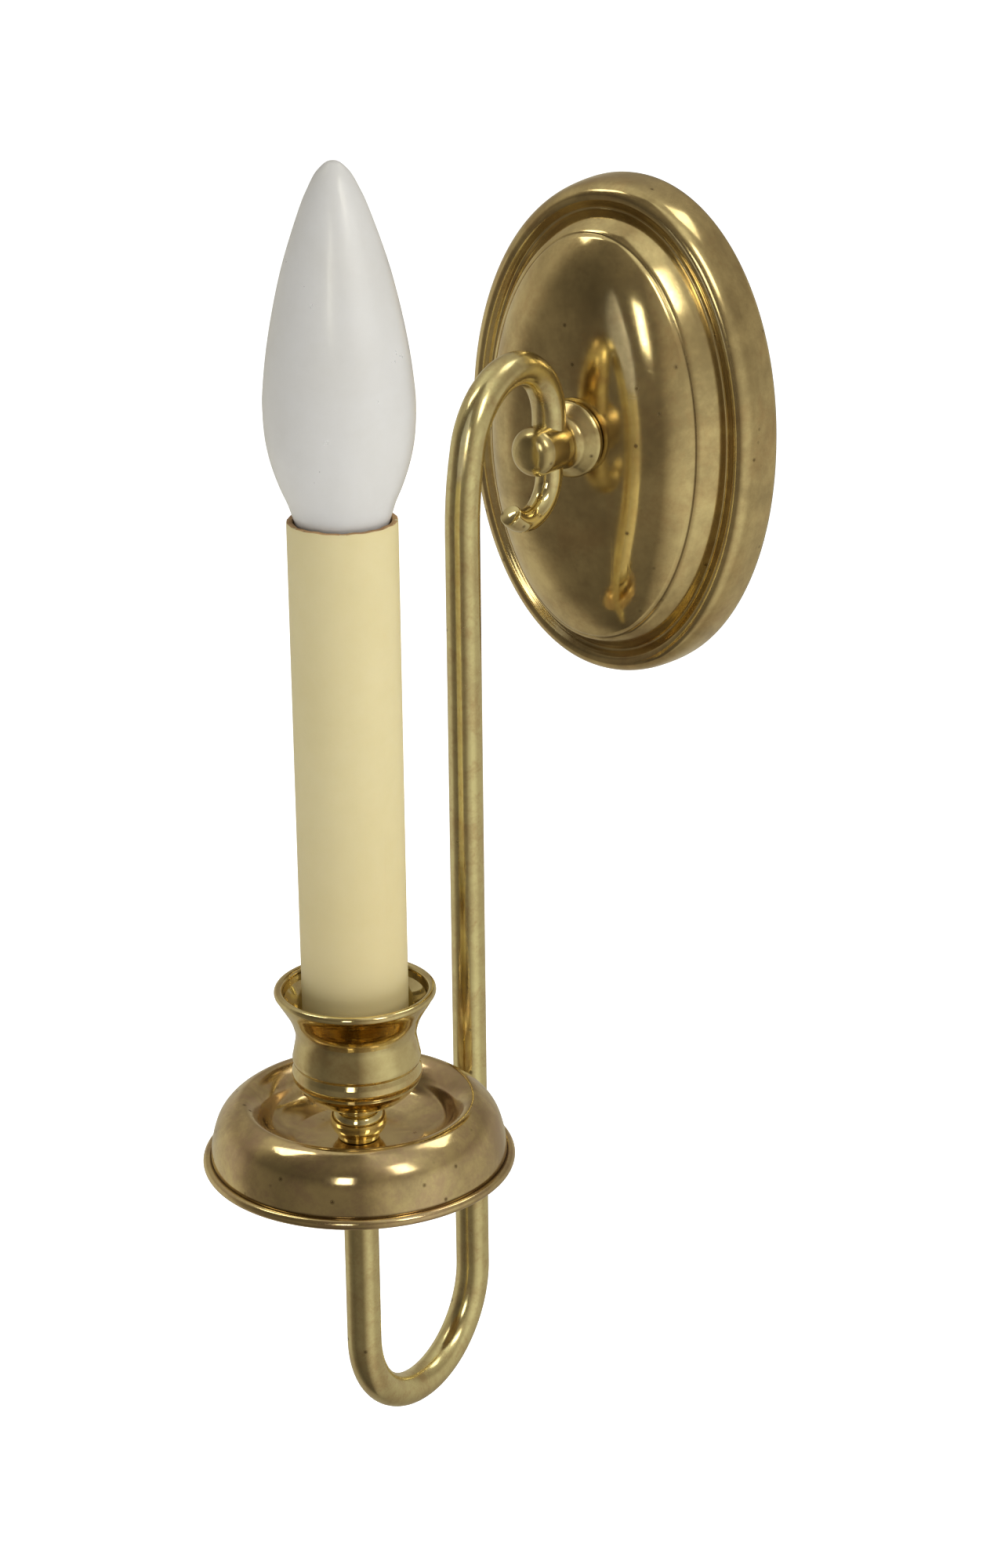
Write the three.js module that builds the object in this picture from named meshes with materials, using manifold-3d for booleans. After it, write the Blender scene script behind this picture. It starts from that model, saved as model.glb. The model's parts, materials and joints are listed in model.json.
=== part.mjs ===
// Brass wall sconce with one electric candle, in millimetres.
// The wall is the plane y = 0, the sconce reaches towards -Y, and +Z is up.
// The origin is at the backplate's centre.
import * as THREE from "three";
import { mergeVertices } from "three/addons/utils/BufferGeometryUtils.js";
import Module from "manifold-3d";

const wasm = await Module();
wasm.setup();

// ---- driving dimensions ----
const gap = 0.3; // between pieces that touch
const runGap = 0.35; // between pieces that slide or turn on each other

const plateWidth = 78.4; // at the wall
const plateHeight = 118;
const plateFullness = 2.07; // 2 is a true ellipse, more is squarer
const plateSheet = 1.2;
const borderDepth = 12.2; // crest of the rounded border, from the wall
const grooveInset = 6.5; // bottom of the groove, in from the plate's outline
const grooveDepth = 10.9; // from the wall
const panelDepth = 17.9; // edge of the raised panel, from the wall
const panelInset = 11.6; // edge of the panel, in from the plate's outline
const domeRise = 7.8; // middle of the panel, out from its edge
const domePower = 4.2; // 2 is a plain dome, more has a flatter middle and rounder shoulders

const leadRadius = 0.95;
const leadOffset = 1.2; // centre of a lead, to the side of the tube's centre
const leadRoom = 0.75; // around the two leads in their bore
const nippleWall = 1.1;
const nippleGrip = 4.3; // length of its thread inside the boss
const leadTurn = 1.6; // radius of the leads' turn inside the boss

const bossStand = 9.6; // panel to the axis of the boss's tube hole
const bossHeight = 2.2; // boss above the plate's centre
const candleReach = 113.7; // wall to the candle's axis
const panRoom = 4.96; // drip pan to the long straight tube
const tubeRadius = 3.97;
const tubeWall = 1;
const loopTop = 22.8; // centre line's highest point
const crownRadius = 14; // upper loop, from the boss to its top
const easeRadius = 72; // the loop eases into the long straight tube
const easeAngle = 15; // degrees
const riserLength = 46.9; // drip pan's rolled edge to the centre of the lower bend
const tailBend = 9.3;
const tailTurn = 135; // degrees
const tailThick = 3.15; // radius where it leaves the boss
const tailThin = 2.5; // radius near its tip
const tailGrip = 1.2; // length of it inside the boss

const barrelWall = 1.43; // around the tube
const noseLength = 10.1; // tube's axis to the front of the boss
const noseRound = 3.7; // radius of its rounded end
const neckWall = 1.45; // around the nipple
const footFlare = 3.5; // from the neck to the boss's foot

const sleeveTop = 4;
const sleeveLength = 120.65;
const sleeveWall = 1.38;
const sleeveRoom = 0.7; // around the lampholder

const cupDepth = 14.15; // lip to the ledge that the sleeve stands on
const seatRoom = 0.5; // around the sleeve
const cupWall = 1.27; // at the waist
const bellySwell = 0.85; // from the waist
const lipFlare = 4.45; // from the waist
const lipRim = 0.95; // radius of the rounded lip
const wellDepth = 5.6; // ledge to the floor of the cup
const cupFloor = 7.1;
const knopSwell = 2.38; // from the tube
const knopHeight = 8.3;

const panRadius = 34.77; // outside of the rolled edge
const panSheet = 1;
const panRise = 9.5; // floor to the crest of the ring
const panDrop = 4.3; // floor to the rolled edge
const beadRadius = 1.12;
const collarHeight = 4.7;
const collarWall = 2.3;

const nutWall = 2.38; // thread to flat
const nutHeight = 4.4;
const thinNutHeight = 3.4;
const washerSheet = 0.8;
const bracketSheet = 1;
const bracketWidth = 8;
const strapRoom = 0.67; // between the nut's corners and the strap

const socketDrop = 7; // sleeve top to the top of the lampholder
const socketHeight = 24;
const socketWall = 2.6;
const socketFloor = 3.5;
const shellSheet = 0.4;
const rivetHead = 1.5;
const baseRadius = 5.95; // small screw base
const baseLength = 15.5;
const bulbRadius = 15.8;
const bulbHeight = 74.2; // above the sleeve's top
const glassSheet = 0.8;

const crossbarSheet = 1.5;
const crossbarStand = 11.6; // front of its raised middle, from the wall
const crossbarWidth = 12.7;
const crossbarFlat = 21; // half length of its raised middle
const crossbarSlope = 6; // from the middle to the feet
const crossbarEnd = 5.05; // from a box screw to the end
const boxScrewSpacing = 88.9;
const boxScrewRadius = 2.1;
const groundDrop = 15; // centre to the ground screw
const groundScrewRadius = 1.5;
const connectorRadius = 4.4;
const connectorLength = 16.4;
const connectorFoot = 10.6; // height of a connector's mouth
const connectorDepth = 6.6; // from the wall

// ---- sizes and places that follow ----
const wireBore = leadOffset + leadRadius + leadRoom;
const nippleRadius = wireBore + nippleWall;
const tubeBore = tubeRadius - tubeWall;
const tubeFit = tubeRadius + gap; // hole that the tube passes through
const nippleFit = nippleRadius + gap;
const neckRadius = nippleRadius + neckWall;
const barrelRadius = Math.max(tubeFit + barrelWall, neckRadius + 0.25);
const footRadius = neckRadius + footFlare;
const knopRadius = tubeRadius + knopSwell;
const nutFlats = 2 * (tubeRadius + nutWall);
const nippleNutFlats = 2 * (nippleRadius + nutWall);
const nippleWasher = nippleNutFlats / Math.sqrt(3) + 0.2;

const socketCavity = baseRadius + runGap + shellSheet + gap;
const socketRadius = socketCavity + socketWall;
const nutCorner = nutFlats / Math.sqrt(3);
const strapReach = Math.max(nutCorner + strapRoom + bracketSheet, socketRadius - 0.6); // its outside
const sleeveBore = Math.max(socketRadius, strapReach + 0.6) + sleeveRoom;
const sleeveRadius = sleeveBore + sleeveWall;
const waistRadius = sleeveRadius + seatRoom + cupWall;
const bellyRadius = waistRadius + bellySwell;
const lipRadius = waistRadius + lipFlare;

const domeDepth = panelDepth + domeRise;
const bossReach = domeDepth + bossStand; // wall to the axis of the boss's tube hole
const dropReach = candleReach - panRadius - panRoom - tubeRadius; // wall to the long straight tube
const bendRadius = (candleReach - dropReach) / 2;
const crownStart = loopTop - crownRadius;
const [easeSine, easeCosine] = [Math.sin, Math.cos].map((f) => f(THREE.MathUtils.degToRad(easeAngle)));
const shoulderReach = dropReach - bossReach - crownRadius - easeRadius * (1 - easeCosine);
const shoulderRadius = shoulderReach / easeCosine;
const easeHeight = loopTop - shoulderRadius * (1 - easeSine) - easeRadius * easeSine;
const tubeFoot = bossHeight - wireBore; // lower end of the tube, inside the boss
const tailTop = bossHeight - barrelRadius + tailGrip;

const sleeveBottom = sleeveTop - sleeveLength;
const cupLedge = sleeveBottom - gap;
const cupWell = cupLedge - wellDepth;
const cupBottom = cupWell - cupFloor;
const knopBottom = cupBottom - gap - knopHeight;
const panFloor = knopBottom - gap;
const beadHeight = panFloor - panDrop;
const collarTop = panFloor - panSheet - gap;
const bendHeight = beadHeight - riserLength;
const bracketFoot = cupWell + gap;
const washerFoot = bracketFoot + bracketSheet + gap;
const nutFoot = washerFoot + washerSheet + gap;
const armTop = nutFoot + nutHeight + 1.8;
const socketTop = sleeveTop - socketDrop;
const socketBottom = socketTop - socketHeight;
const socketSeat = socketBottom + socketFloor;
const baseTop = socketTop + 1;
const baseBottom = baseTop - baseLength;
const mountTop = sleeveTop + 18; // top of the glass mount inside the bulb

const washerFront = domeDepth - plateSheet - gap;
const bossNutFront = washerFront - washerSheet - gap;
const crossbarHalf = boxScrewSpacing / 2 + crossbarEnd;
const nippleEnd = crossbarStand - crossbarSheet - 4.2;
const connectorSide = plateWidth / 2 - panelInset - connectorRadius - 3.8; // from the middle

// ---- finishes ----
const brass = new THREE.MeshStandardMaterial({ color: 0xb59a55, metalness: 1, roughness: 0.28 });
const brownBrass = new THREE.MeshStandardMaterial({ color: 0x94774a, metalness: 1, roughness: 0.36 });
const steel = new THREE.MeshStandardMaterial({ color: 0xa6a49c, metalness: 1, roughness: 0.42 });
const nickel = new THREE.MeshStandardMaterial({ color: 0xbab6ab, metalness: 1, roughness: 0.3 });
const fibre = new THREE.MeshStandardMaterial({ color: 0xe6d9a8, metalness: 0, roughness: 0.55 });
const phenolic = new THREE.MeshStandardMaterial({ color: 0x2a2320, metalness: 0, roughness: 0.4 });
const blackGlass = new THREE.MeshStandardMaterial({ color: 0x15131a, metalness: 0, roughness: 0.15 });
const clearGlass = new THREE.MeshStandardMaterial({ color: 0xe9ecea, metalness: 0, roughness: 0.05 });
const frostedGlass = new THREE.MeshStandardMaterial({ color: 0xe9e3cf, metalness: 0, roughness: 0.35 });
const tungsten = new THREE.MeshStandardMaterial({ color: 0x6c6a68, metalness: 1, roughness: 0.5 });
const blackWire = new THREE.MeshStandardMaterial({ color: 0x1c1b1b, metalness: 0, roughness: 0.5 });
const whiteWire = new THREE.MeshStandardMaterial({ color: 0xe4e1d8, metalness: 0, roughness: 0.5 });
const orangeCap = new THREE.MeshStandardMaterial({ color: 0xb8672b, metalness: 0, roughness: 0.5 });
const greenScrew = new THREE.MeshStandardMaterial({ color: 0x3c7a46, metalness: 1, roughness: 0.4 });

// ---- solids ----
function asSolid(geometry) {
  const loose = geometry.index ? geometry.toNonIndexed() : geometry.clone();
  loose.deleteAttribute("normal");
  loose.deleteAttribute("uv");
  const merged = mergeVertices(loose, 1e-4);
  const corners = [];
  for (let i = 0; i < merged.index.count; i += 3) {
    const [a, b, c] = [0, 1, 2].map((k) => merged.index.getX(i + k));
    if (a !== b && b !== c && c !== a) corners.push(a, b, c);
  }
  const make = (triangles) =>
    new wasm.Manifold(
      new wasm.Mesh({
        numProp: 3,
        vertProperties: merged.attributes.position.array,
        triVerts: new Uint32Array(triangles),
      }),
    );
  const solid = make(corners);
  return solid.volume() < 0 ? make(corners.reverse()) : solid;
}

function asGeometry(solid) {
  const mesh = solid.getMesh();
  const positions = new Float32Array(mesh.numVert * 3);
  for (let i = 0; i < mesh.numVert; i++)
    positions.set(mesh.vertProperties.subarray(i * mesh.numProp, i * mesh.numProp + 3), i * 3);
  const geometry = new THREE.BufferGeometry();
  geometry.setAttribute("position", new THREE.BufferAttribute(positions, 3));
  geometry.setIndex(new THREE.BufferAttribute(mesh.triVerts, 1));
  geometry.computeVertexNormals();
  return geometry;
}

// A turned piece on the vertical axis. The profile is [radius, height] pairs, and closes on itself
// unless it starts and ends on the axis.
function turned(profile, sides = 32) {
  const points = profile.map(([r, z]) => new THREE.Vector2(r, z));
  const onAxis = profile[0][0] === 0 && profile.at(-1)[0] === 0;
  if (!onAxis) points.push(points[0].clone());
  return asSolid(new THREE.LatheGeometry(points, sides).rotateX(Math.PI / 2));
}

function cylinder(radius, low, high, sides = 24) {
  return turned([[0, low], [radius, low], [radius, high], [0, high]], sides);
}

function ring(outer, inner, low, high, sides = 32) {
  return turned([[inner, low], [outer, low], [outer, high], [inner, high]], sides);
}

function shifted(solid, x, y, z) {
  return solid.translate([x, y, z]);
}

// Turns a solid from the vertical axis onto the axis that points away from the wall.
function alongReach(solid) {
  return solid.rotate([90, 0, 0]);
}

// The same, on the axis of the boss.
function onBoss(solid) {
  return alongReach(solid).translate([0, 0, bossHeight]);
}

// Points of a circular arc in a profile, from one angle to another in degrees.
function arc(centreR, centreZ, radius, from, to, steps) {
  return Array.from({ length: steps + 1 }, (_, i) => {
    const angle = THREE.MathUtils.degToRad(from + ((to - from) * i) / steps);
    return [centreR + radius * Math.cos(angle), centreZ + radius * Math.sin(angle)];
  });
}

// A smooth line through a few profile points.
function smooth(points, steps) {
  const curve = new THREE.SplineCurve(points.map(([r, z]) => new THREE.Vector2(r, z)));
  return curve.getPoints(steps).map((p) => [p.x, p.y]);
}

// The other face of a sheet whose first face follows the profile.
function otherFace(profile, thickness) {
  return profile.map(([r, z], i) => {
    const before = profile[Math.max(i - 1, 0)];
    const after = profile[Math.min(i + 1, profile.length - 1)];
    const along = new THREE.Vector2(after[0] - before[0], after[1] - before[1]).normalize();
    return [r + along.y * thickness, z - along.x * thickness];
  });
}

// A route of lines and arcs, each cut into its own number of steps.
class Route extends THREE.Curve {
  constructor(legs) {
    super();
    this.legs = legs;
    this.steps = legs.reduce((sum, leg) => sum + leg.steps, 0);
  }
  place(t) {
    let step = THREE.MathUtils.clamp(t, 0, 1) * this.steps;
    for (const leg of this.legs) {
      if (step <= leg.steps + 1e-9) return [leg, step / leg.steps];
      step -= leg.steps;
    }
    return [this.legs.at(-1), 1];
  }
  getPoint(t) {
    const [leg, share] = this.place(t);
    return leg.at(share);
  }
  getPointAt(t) {
    return this.getPoint(t);
  }
  getTangentAt(t) {
    const [leg, share] = this.place(t);
    return leg.along(share).normalize();
  }
}

function lineLeg(from, to, steps) {
  const start = new THREE.Vector3(...from);
  const run = new THREE.Vector3(...to).sub(start);
  return {
    steps,
    at: (share) => start.clone().addScaledVector(run, share),
    along: () => run.clone(),
  };
}

// An arc in a plane x = constant, about (y, z), from one angle to another in degrees.
function bendLeg(x, y, z, radius, from, to, steps) {
  const angleAt = (share) => THREE.MathUtils.degToRad(from + (to - from) * share);
  const turn = Math.sign(to - from);
  return {
    steps,
    at: (share) => {
      const a = angleAt(share);
      return new THREE.Vector3(x, y + radius * Math.cos(a), z + radius * Math.sin(a));
    },
    along: (share) => {
      const a = angleAt(share);
      return new THREE.Vector3(0, -Math.sin(a) * turn, Math.cos(a) * turn);
    },
  };
}

function swept(path, radius, sides, steps = path.steps) {
  const section = new THREE.Shape();
  for (let i = 0; i < sides; i++) {
    const a = (2 * Math.PI * (i + 0.5)) / sides;
    const point = [radius * Math.cos(a), radius * Math.sin(a)];
    if (i === 0) section.moveTo(...point);
    else section.lineTo(...point);
  }
  section.closePath();
  return asSolid(new THREE.ExtrudeGeometry(section, { steps, extrudePath: path, bevelEnabled: false }));
}

// An outline in the plane through X and Z, given in Y from one face to the other.
function plateOf(points, nearY, farY) {
  const shape = new THREE.Shape(points.map(([x, z]) => new THREE.Vector2(x, z)));
  const geometry = new THREE.ExtrudeGeometry(shape, { depth: farY - nearY, bevelEnabled: false });
  return asSolid(geometry.rotateX(Math.PI / 2).translate(0, farY, 0));
}

function hexNut(flats, hole, low, high) {
  return cylinder(flats / Math.sqrt(3), low, high, 6).subtract(cylinder(hole, low - 1, high + 1, 24));
}

// ---- backplate ----
// One loop of the oval, moved in from the outline and out from the wall.
function ovalLoop(inset, depth, sides) {
  const [a, b] = [plateWidth / 2, plateHeight / 2];
  const power = (value, exponent) => Math.sign(value) * Math.abs(value) ** exponent;
  return Array.from({ length: sides }, (_, i) => {
    const [c, s] = [Math.cos((2 * Math.PI * i) / sides), Math.sin((2 * Math.PI * i) / sides)];
    const bend = 2 / plateFullness;
    const normal = new THREE.Vector2(b * power(c, 2 - bend), a * power(s, 2 - bend)).normalize();
    return [a * power(c, bend) - normal.x * inset, -depth, b * power(s, bend) - normal.y * inset];
  });
}

function roundLoop(radius, depth, sides) {
  return Array.from({ length: sides }, (_, i) => {
    const t = (2 * Math.PI * i) / sides;
    return [radius * Math.cos(t), -depth, bossHeight + radius * Math.sin(t)];
  });
}

// Loops of the domed panel, from its edge to the hole for the nipple, set back from its front.
function domeLoops(setBack, sides) {
  const edge = ovalLoop(panelInset + setBack / 2, panelDepth, sides);
  const hole = roundLoop(nippleFit, domeDepth, sides);
  return [1, 0.95, 0.88, 0.78, 0.64, 0.45, 0.22, 0].map((share) =>
    edge.map(([x, , z], i) => {
      const depth = panelDepth + domeRise * (1 - share ** domePower) - setBack;
      return [x * share + hole[i][0] * (1 - share), -depth, z * share + hole[i][2] * (1 - share)];
    }),
  );
}

// Joins loops of equal length into one closed skin, the last loop back to the first.
function skinOf(loops) {
  const sides = loops[0].length;
  const geometry = new THREE.BufferGeometry();
  geometry.setAttribute("position", new THREE.Float32BufferAttribute(loops.flat(2), 3));
  const index = [];
  loops.forEach((_, i) => {
    const next = (i + 1) % loops.length;
    for (let k = 0; k < sides; k++) {
      const l = (k + 1) % sides;
      const [a, b, c, d] = [i * sides + k, i * sides + l, next * sides + l, next * sides + k];
      index.push(a, b, c, a, c, d);
    }
  });
  geometry.setIndex(index);
  return asSolid(geometry);
}

function backplate() {
  const sides = 40;
  const border = smooth(
    [
      [0.1, borderDepth * 0.29],
      [0.45, borderDepth * 0.57],
      [1.1, borderDepth * 0.79],
      [2.1, borderDepth * 0.93],
      [3.3, borderDepth],
      [4.5, borderDepth],
      [5.6, borderDepth - 0.7],
    ],
    7,
  );
  const [beadWidth, beadRise] = [panelInset - grooveInset, panelDepth - grooveDepth];
  const beadShares = [[0.12, 0.06], [0.39, 0.41], [0.73, 0.79], [0.88, 0.9]]; // of its width and rise
  const bead = smooth(
    beadShares.map(([across, up]) => [grooveInset + beadWidth * across, grooveDepth + beadRise * up]),
    4,
  );
  const front = [[0, 0], ...border, [grooveInset, grooveDepth], ...bead];
  const back = otherFace(front, plateSheet);
  back[0] = [plateSheet, 0];
  const loops = [
    ...front.map(([inset, depth]) => ovalLoop(inset, depth, sides)),
    ...domeLoops(0, sides),
    ...domeLoops(plateSheet, sides).reverse(),
    ...back.reverse().map(([inset, depth]) => ovalLoop(inset, depth, sides)),
  ];
  return skinOf(loops);
}

// ---- boss and arm ----
function armBoss() {
  const back = domeDepth + gap;
  const threadEnd = back + nippleGrip + gap;
  const end = bossReach + noseLength;
  const nose = arc(barrelRadius - noseRound, end - noseRound - 0.8, noseRound, 0, 80, 6);
  const body = turned(
    [
      [0, threadEnd],
      [nippleFit, threadEnd],
      [nippleFit, back],
      [footRadius - 0.5, back],
      [footRadius, back + 0.7],
      [footRadius, back + 1.7],
      [footRadius - 0.35, back + 2.2],
      [neckRadius + 1.5, back + 3.9],
      [neckRadius + 0.6, back + 4.9],
      [neckRadius, back + 6.6],
      [barrelRadius - 0.1, bossReach],
      ...nose,
      [0, end],
    ],
    28,
  );
  const wireWay = cylinder(wireBore, threadEnd - 1, bossReach, 16);
  const above = bossHeight + 2 * barrelRadius;
  const below = bossHeight - 2 * barrelRadius;
  const tubeHole = cylinder(tubeFit, tubeFoot - gap, above, 24);
  const tailSeat = cylinder(tailThick + gap, below, tailTop + gap, 20);
  const holes = tubeHole.add(tailSeat).translate([0, -bossReach, 0]);
  return onBoss(body.subtract(wireWay)).subtract(holes);
}

// The tube's centre line from the boss to the end of the lower bend, beside the arm's plane by x.
function armLegs(x, start) {
  const crown = -(bossReach + crownRadius);
  return [
    lineLeg([x, -bossReach, start], [x, -bossReach, crownStart], 1),
    bendLeg(x, crown, crownStart, crownRadius, 0, 90, 8),
    bendLeg(x, crown, loopTop - shoulderRadius, shoulderRadius, 90, 180 - easeAngle, 7),
    bendLeg(x, easeRadius - dropReach, easeHeight, easeRadius, 180 - easeAngle, 180, 3),
    lineLeg([x, -dropReach, easeHeight], [x, -dropReach, bendHeight], 1),
    bendLeg(x, -(dropReach + bendRadius), bendHeight, bendRadius, 0, -180, 14),
  ];
}

function arm() {
  const riser = (top) => lineLeg([0, -candleReach, bendHeight], [0, -candleReach, top], 1);
  const path = new Route([...armLegs(0, tubeFoot), riser(armTop)]);
  const bore = new Route([...armLegs(0, tubeFoot - 2), riser(armTop + 2)]);
  const wireHole = onBoss(cylinder(wireBore, bossReach - tubeRadius - 1, bossReach, 12));
  return swept(path, tubeRadius, 16).subtract(swept(bore, tubeBore, 10)).subtract(wireHole);
}

// The curl under the boss: a solid rod that thins towards its tip.
function armTail() {
  const [sides, steps] = [16, 16];
  const path = new Route([
    bendLeg(0, -(bossReach + tailBend), tailTop - tailGrip, tailBend, 0, -tailTurn, steps),
  ]);
  const top = new THREE.Vector3(0, -bossReach, tailTop);
  const stations = [{ centre: top, along: new THREE.Vector3(0, 0, -1), radius: tailThick }];
  for (let i = 0; i <= steps; i++) {
    const share = i / steps;
    const radius = THREE.MathUtils.lerp(tailThick, tailThin, share);
    stations.push({ centre: path.getPointAt(share), along: path.getTangentAt(share), radius });
  }
  const rings = stations.map(({ centre, along, radius }) => {
    const up = new THREE.Vector3(0, along.z, -along.y);
    return Array.from({ length: sides }, (_, k) => {
      const a = (2 * Math.PI * k) / sides;
      const point = centre.clone().addScaledVector(up, -radius * Math.sin(a));
      point.x += radius * Math.cos(a);
      return point;
    });
  });
  return rodOf(rings, top, stations.at(-1).centre);
}

// Joins rings of points into a closed rod with flat ends about the two given points.
function rodOf(rings, first, last) {
  const sides = rings[0].length;
  const points = [...rings.flat(), first, last];
  const index = [];
  for (let i = 0; i + 1 < rings.length; i++) {
    for (let k = 0; k < sides; k++) {
      const l = (k + 1) % sides;
      const [a, b, c, d] = [i * sides + k, i * sides + l, (i + 1) * sides + l, (i + 1) * sides + k];
      index.push(a, b, c, a, c, d);
    }
  }
  const start = (rings.length - 1) * sides;
  for (let k = 0; k < sides; k++) {
    const l = (k + 1) % sides;
    index.push(points.length - 2, l, k);
    index.push(points.length - 1, start + k, start + l);
  }
  const geometry = new THREE.BufferGeometry().setFromPoints(points);
  geometry.setIndex(index);
  return asSolid(geometry);
}

// ---- candle head, from the bottom up ----
function onCandle(solid) {
  return shifted(solid, 0, -candleReach, 0);
}

function armSeatCollar() {
  const low = collarTop - collarHeight;
  const outer = tubeFit + collarWall;
  const edge = 0.8;
  return onCandle(
    turned(
      [[tubeFit, low], [outer - edge, low], [outer, low + edge], [outer, collarTop], [tubeFit, collarTop]],
      24,
    ),
  );
}

function dripPan() {
  const crest = panFloor + panRise;
  const edge = panRadius - beadRadius;
  const topFace = [
    [tubeFit, panFloor],
    [knopRadius + 2, panFloor],
    ...smooth(
      [
        [panRadius - 20.5, panFloor + 0.5],
        [panRadius - 15.3, panFloor + 3],
        [panRadius - 13, panFloor + 7],
        [panRadius - 9.5, crest],
        [panRadius - 6.3, crest - 1.4],
        [panRadius - 3.7, crest - 4.4],
        [panRadius - 2.3, crest - 8.6],
        [panRadius - 1.8, beadHeight + 1.4],
      ],
      13,
    ),
    [panRadius - 1.9, beadHeight + 0.2],
  ];
  const underFace = otherFace(topFace, panSheet);
  underFace[0] = [tubeFit, panFloor - panSheet];
  const sheet = turned([...topFace, ...underFace.reverse()], 32);
  const bead = asSolid(new THREE.TorusGeometry(edge, beadRadius, 6, 32).translate(0, 0, beadHeight));
  return onCandle(sheet.add(bead));
}

function stemKnop() {
  const top = cupBottom - gap;
  const middle = (knopBottom + top) / 2 + 0.1;
  const neck = knopRadius - 1.3;
  const roll = knopRadius - 2.45;
  return onCandle(
    turned(
      [
        [tubeFit, knopBottom],
        [neck + 0.6, knopBottom],
        [neck + 0.6, knopBottom + 0.6],
        ...arc(knopRadius - roll, middle, roll, -48, 48, 9),
        [neck, top],
        [tubeFit, top],
      ],
      28,
    ),
  );
}

function candleCup() {
  const lip = cupLedge + cupDepth;
  const wall = sleeveRadius + seatRoom;
  const outside = [
    [tubeFit, cupBottom],
    [knopRadius - 0.4, cupBottom],
    ...smooth(
      [
        [knopRadius + 1.5, cupBottom + 0.5],
        [bellyRadius - 3.3, cupBottom + 2.2],
        [bellyRadius - 1.3, cupBottom + 4.2],
        [bellyRadius - 0.4, cupBottom + 5.6],
      ],
      5,
    ),
    [bellyRadius + 0.05, lip - 20.4],
    [bellyRadius + 0.05, lip - 17.9],
    [bellyRadius - 0.45, lip - 16.95],
    [bellyRadius - 0.1, lip - 16.3],
    ...smooth(
      [
        [bellyRadius, lip - 15.3],
        [bellyRadius - 0.3, lip - 13.9],
        [waistRadius, lip - 10.5],
        [waistRadius + 0.4, lip - 8.6],
        [waistRadius + 1, lip - 6.7],
        [lipRadius - 2.2, lip - 4.8],
        [lipRadius - 0.7, lip - 2.8],
      ],
      9,
    ),
    ...arc(lipRadius - lipRim, lip, lipRim, -40, 190, 5),
  ];
  const inside = [
    ...smooth(
      [
        [lipRadius - 2.2, lip - 1.6],
        [lipRadius - 4.2, lip - 4.4],
        [wall + 0.1, lip - 8],
        [wall, cupLedge],
      ],
      5,
    ),
    [sleeveBore - 0.1, cupLedge],
    [sleeveBore - 0.1, cupWell],
    [tubeFit, cupWell],
  ];
  return onCandle(turned([...outside, ...inside], 30));
}

const tabEnd = leadOffset + leadRadius + 0.5; // the strap's upper ends stop short of the leads
const rivetX = socketCavity - gap - rivetHead;

function socketBracket() {
  const low = bracketFoot;
  const top = socketBottom - gap;
  const outer = strapReach;
  const disc = nutCorner + 0.25; // under the nut
  const strap = [
    [tubeRadius, low],
    [outer, low],
    [outer, top],
    [tabEnd, top],
    [tabEnd, top - bracketSheet],
    [outer - bracketSheet, top - bracketSheet],
    [outer - bracketSheet, low + bracketSheet],
    [tubeRadius, low + bracketSheet],
  ];
  const foot = cylinder(disc, low, low + bracketSheet, 24);
  const rivetHole = shifted(cylinder(rivetHead - 0.3, top - 3, top + 3, 12), rivetX, 0, 0);
  return onCandle(
    plateOf(strap, -bracketWidth / 2, bracketWidth / 2)
      .add(foot)
      .subtract(cylinder(tubeFit, low - 1, low + 3, 24))
      .subtract(rivetHole),
  );
}

function bracketWasher() {
  return onCandle(ring(nutFlats / 2 + 0.05, tubeFit, washerFoot, washerFoot + washerSheet, 24));
}

function cupNut() {
  return onCandle(hexNut(nutFlats, tubeFit, nutFoot, nutFoot + nutHeight));
}

function candleSleeve() {
  return onCandle(ring(sleeveRadius, sleeveBore, sleeveBottom, sleeveTop, 40));
}

// ---- lampholder ----

function socketBody() {
  const cup = turned(
    [
      [0, socketBottom],
      [socketRadius - 0.5, socketBottom],
      [socketRadius, socketBottom + 0.5],
      [socketRadius, socketTop - 0.4],
      [socketRadius - 0.4, socketTop],
      [socketCavity, socketTop],
      [socketCavity, socketSeat],
      [0, socketSeat],
    ],
    32,
  );
  const rivetHole = shifted(cylinder(rivetHead - 0.3, socketBottom - 1, socketSeat + 1, 12), rivetX, 0, 0);
  return onCandle(cup.subtract(rivetHole));
}

function socketScrewShell() {
  const inner = baseRadius + runGap;
  return onCandle(ring(inner + shellSheet, inner, socketSeat + 2.4, socketTop - 0.6, 28));
}

function socketCentreContact() {
  const low = socketSeat + gap;
  const high = baseBottom - 3.9;
  const sheet = 0.4;
  const tongue = [
    [-5.2, low],
    [-1.4, low],
    [0.2, high - sheet],
    [2.6, high - sheet],
    [2.6, high],
    [-0.1, high],
    [-1.7, low + sheet],
    [-5.2, low + sheet],
  ];
  return onCandle(plateOf(tongue, -2, 2));
}

function socketRivet() {
  const low = socketBottom - gap - bracketSheet - gap;
  return onCandle(
    shifted(
      turned(
        [
          [0, low - 0.8],
          [rivetHead - 0.3, low - 0.6],
          [rivetHead, low],
          [rivetHead - 0.6, low],
          [rivetHead - 0.6, socketSeat + gap],
          [rivetHead, socketSeat + gap],
          [rivetHead - 0.3, socketSeat + gap + 0.6],
          [0, socketSeat + gap + 0.8],
        ],
        14,
      ),
      rivetX,
      0,
      0,
    ),
  );
}

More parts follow.
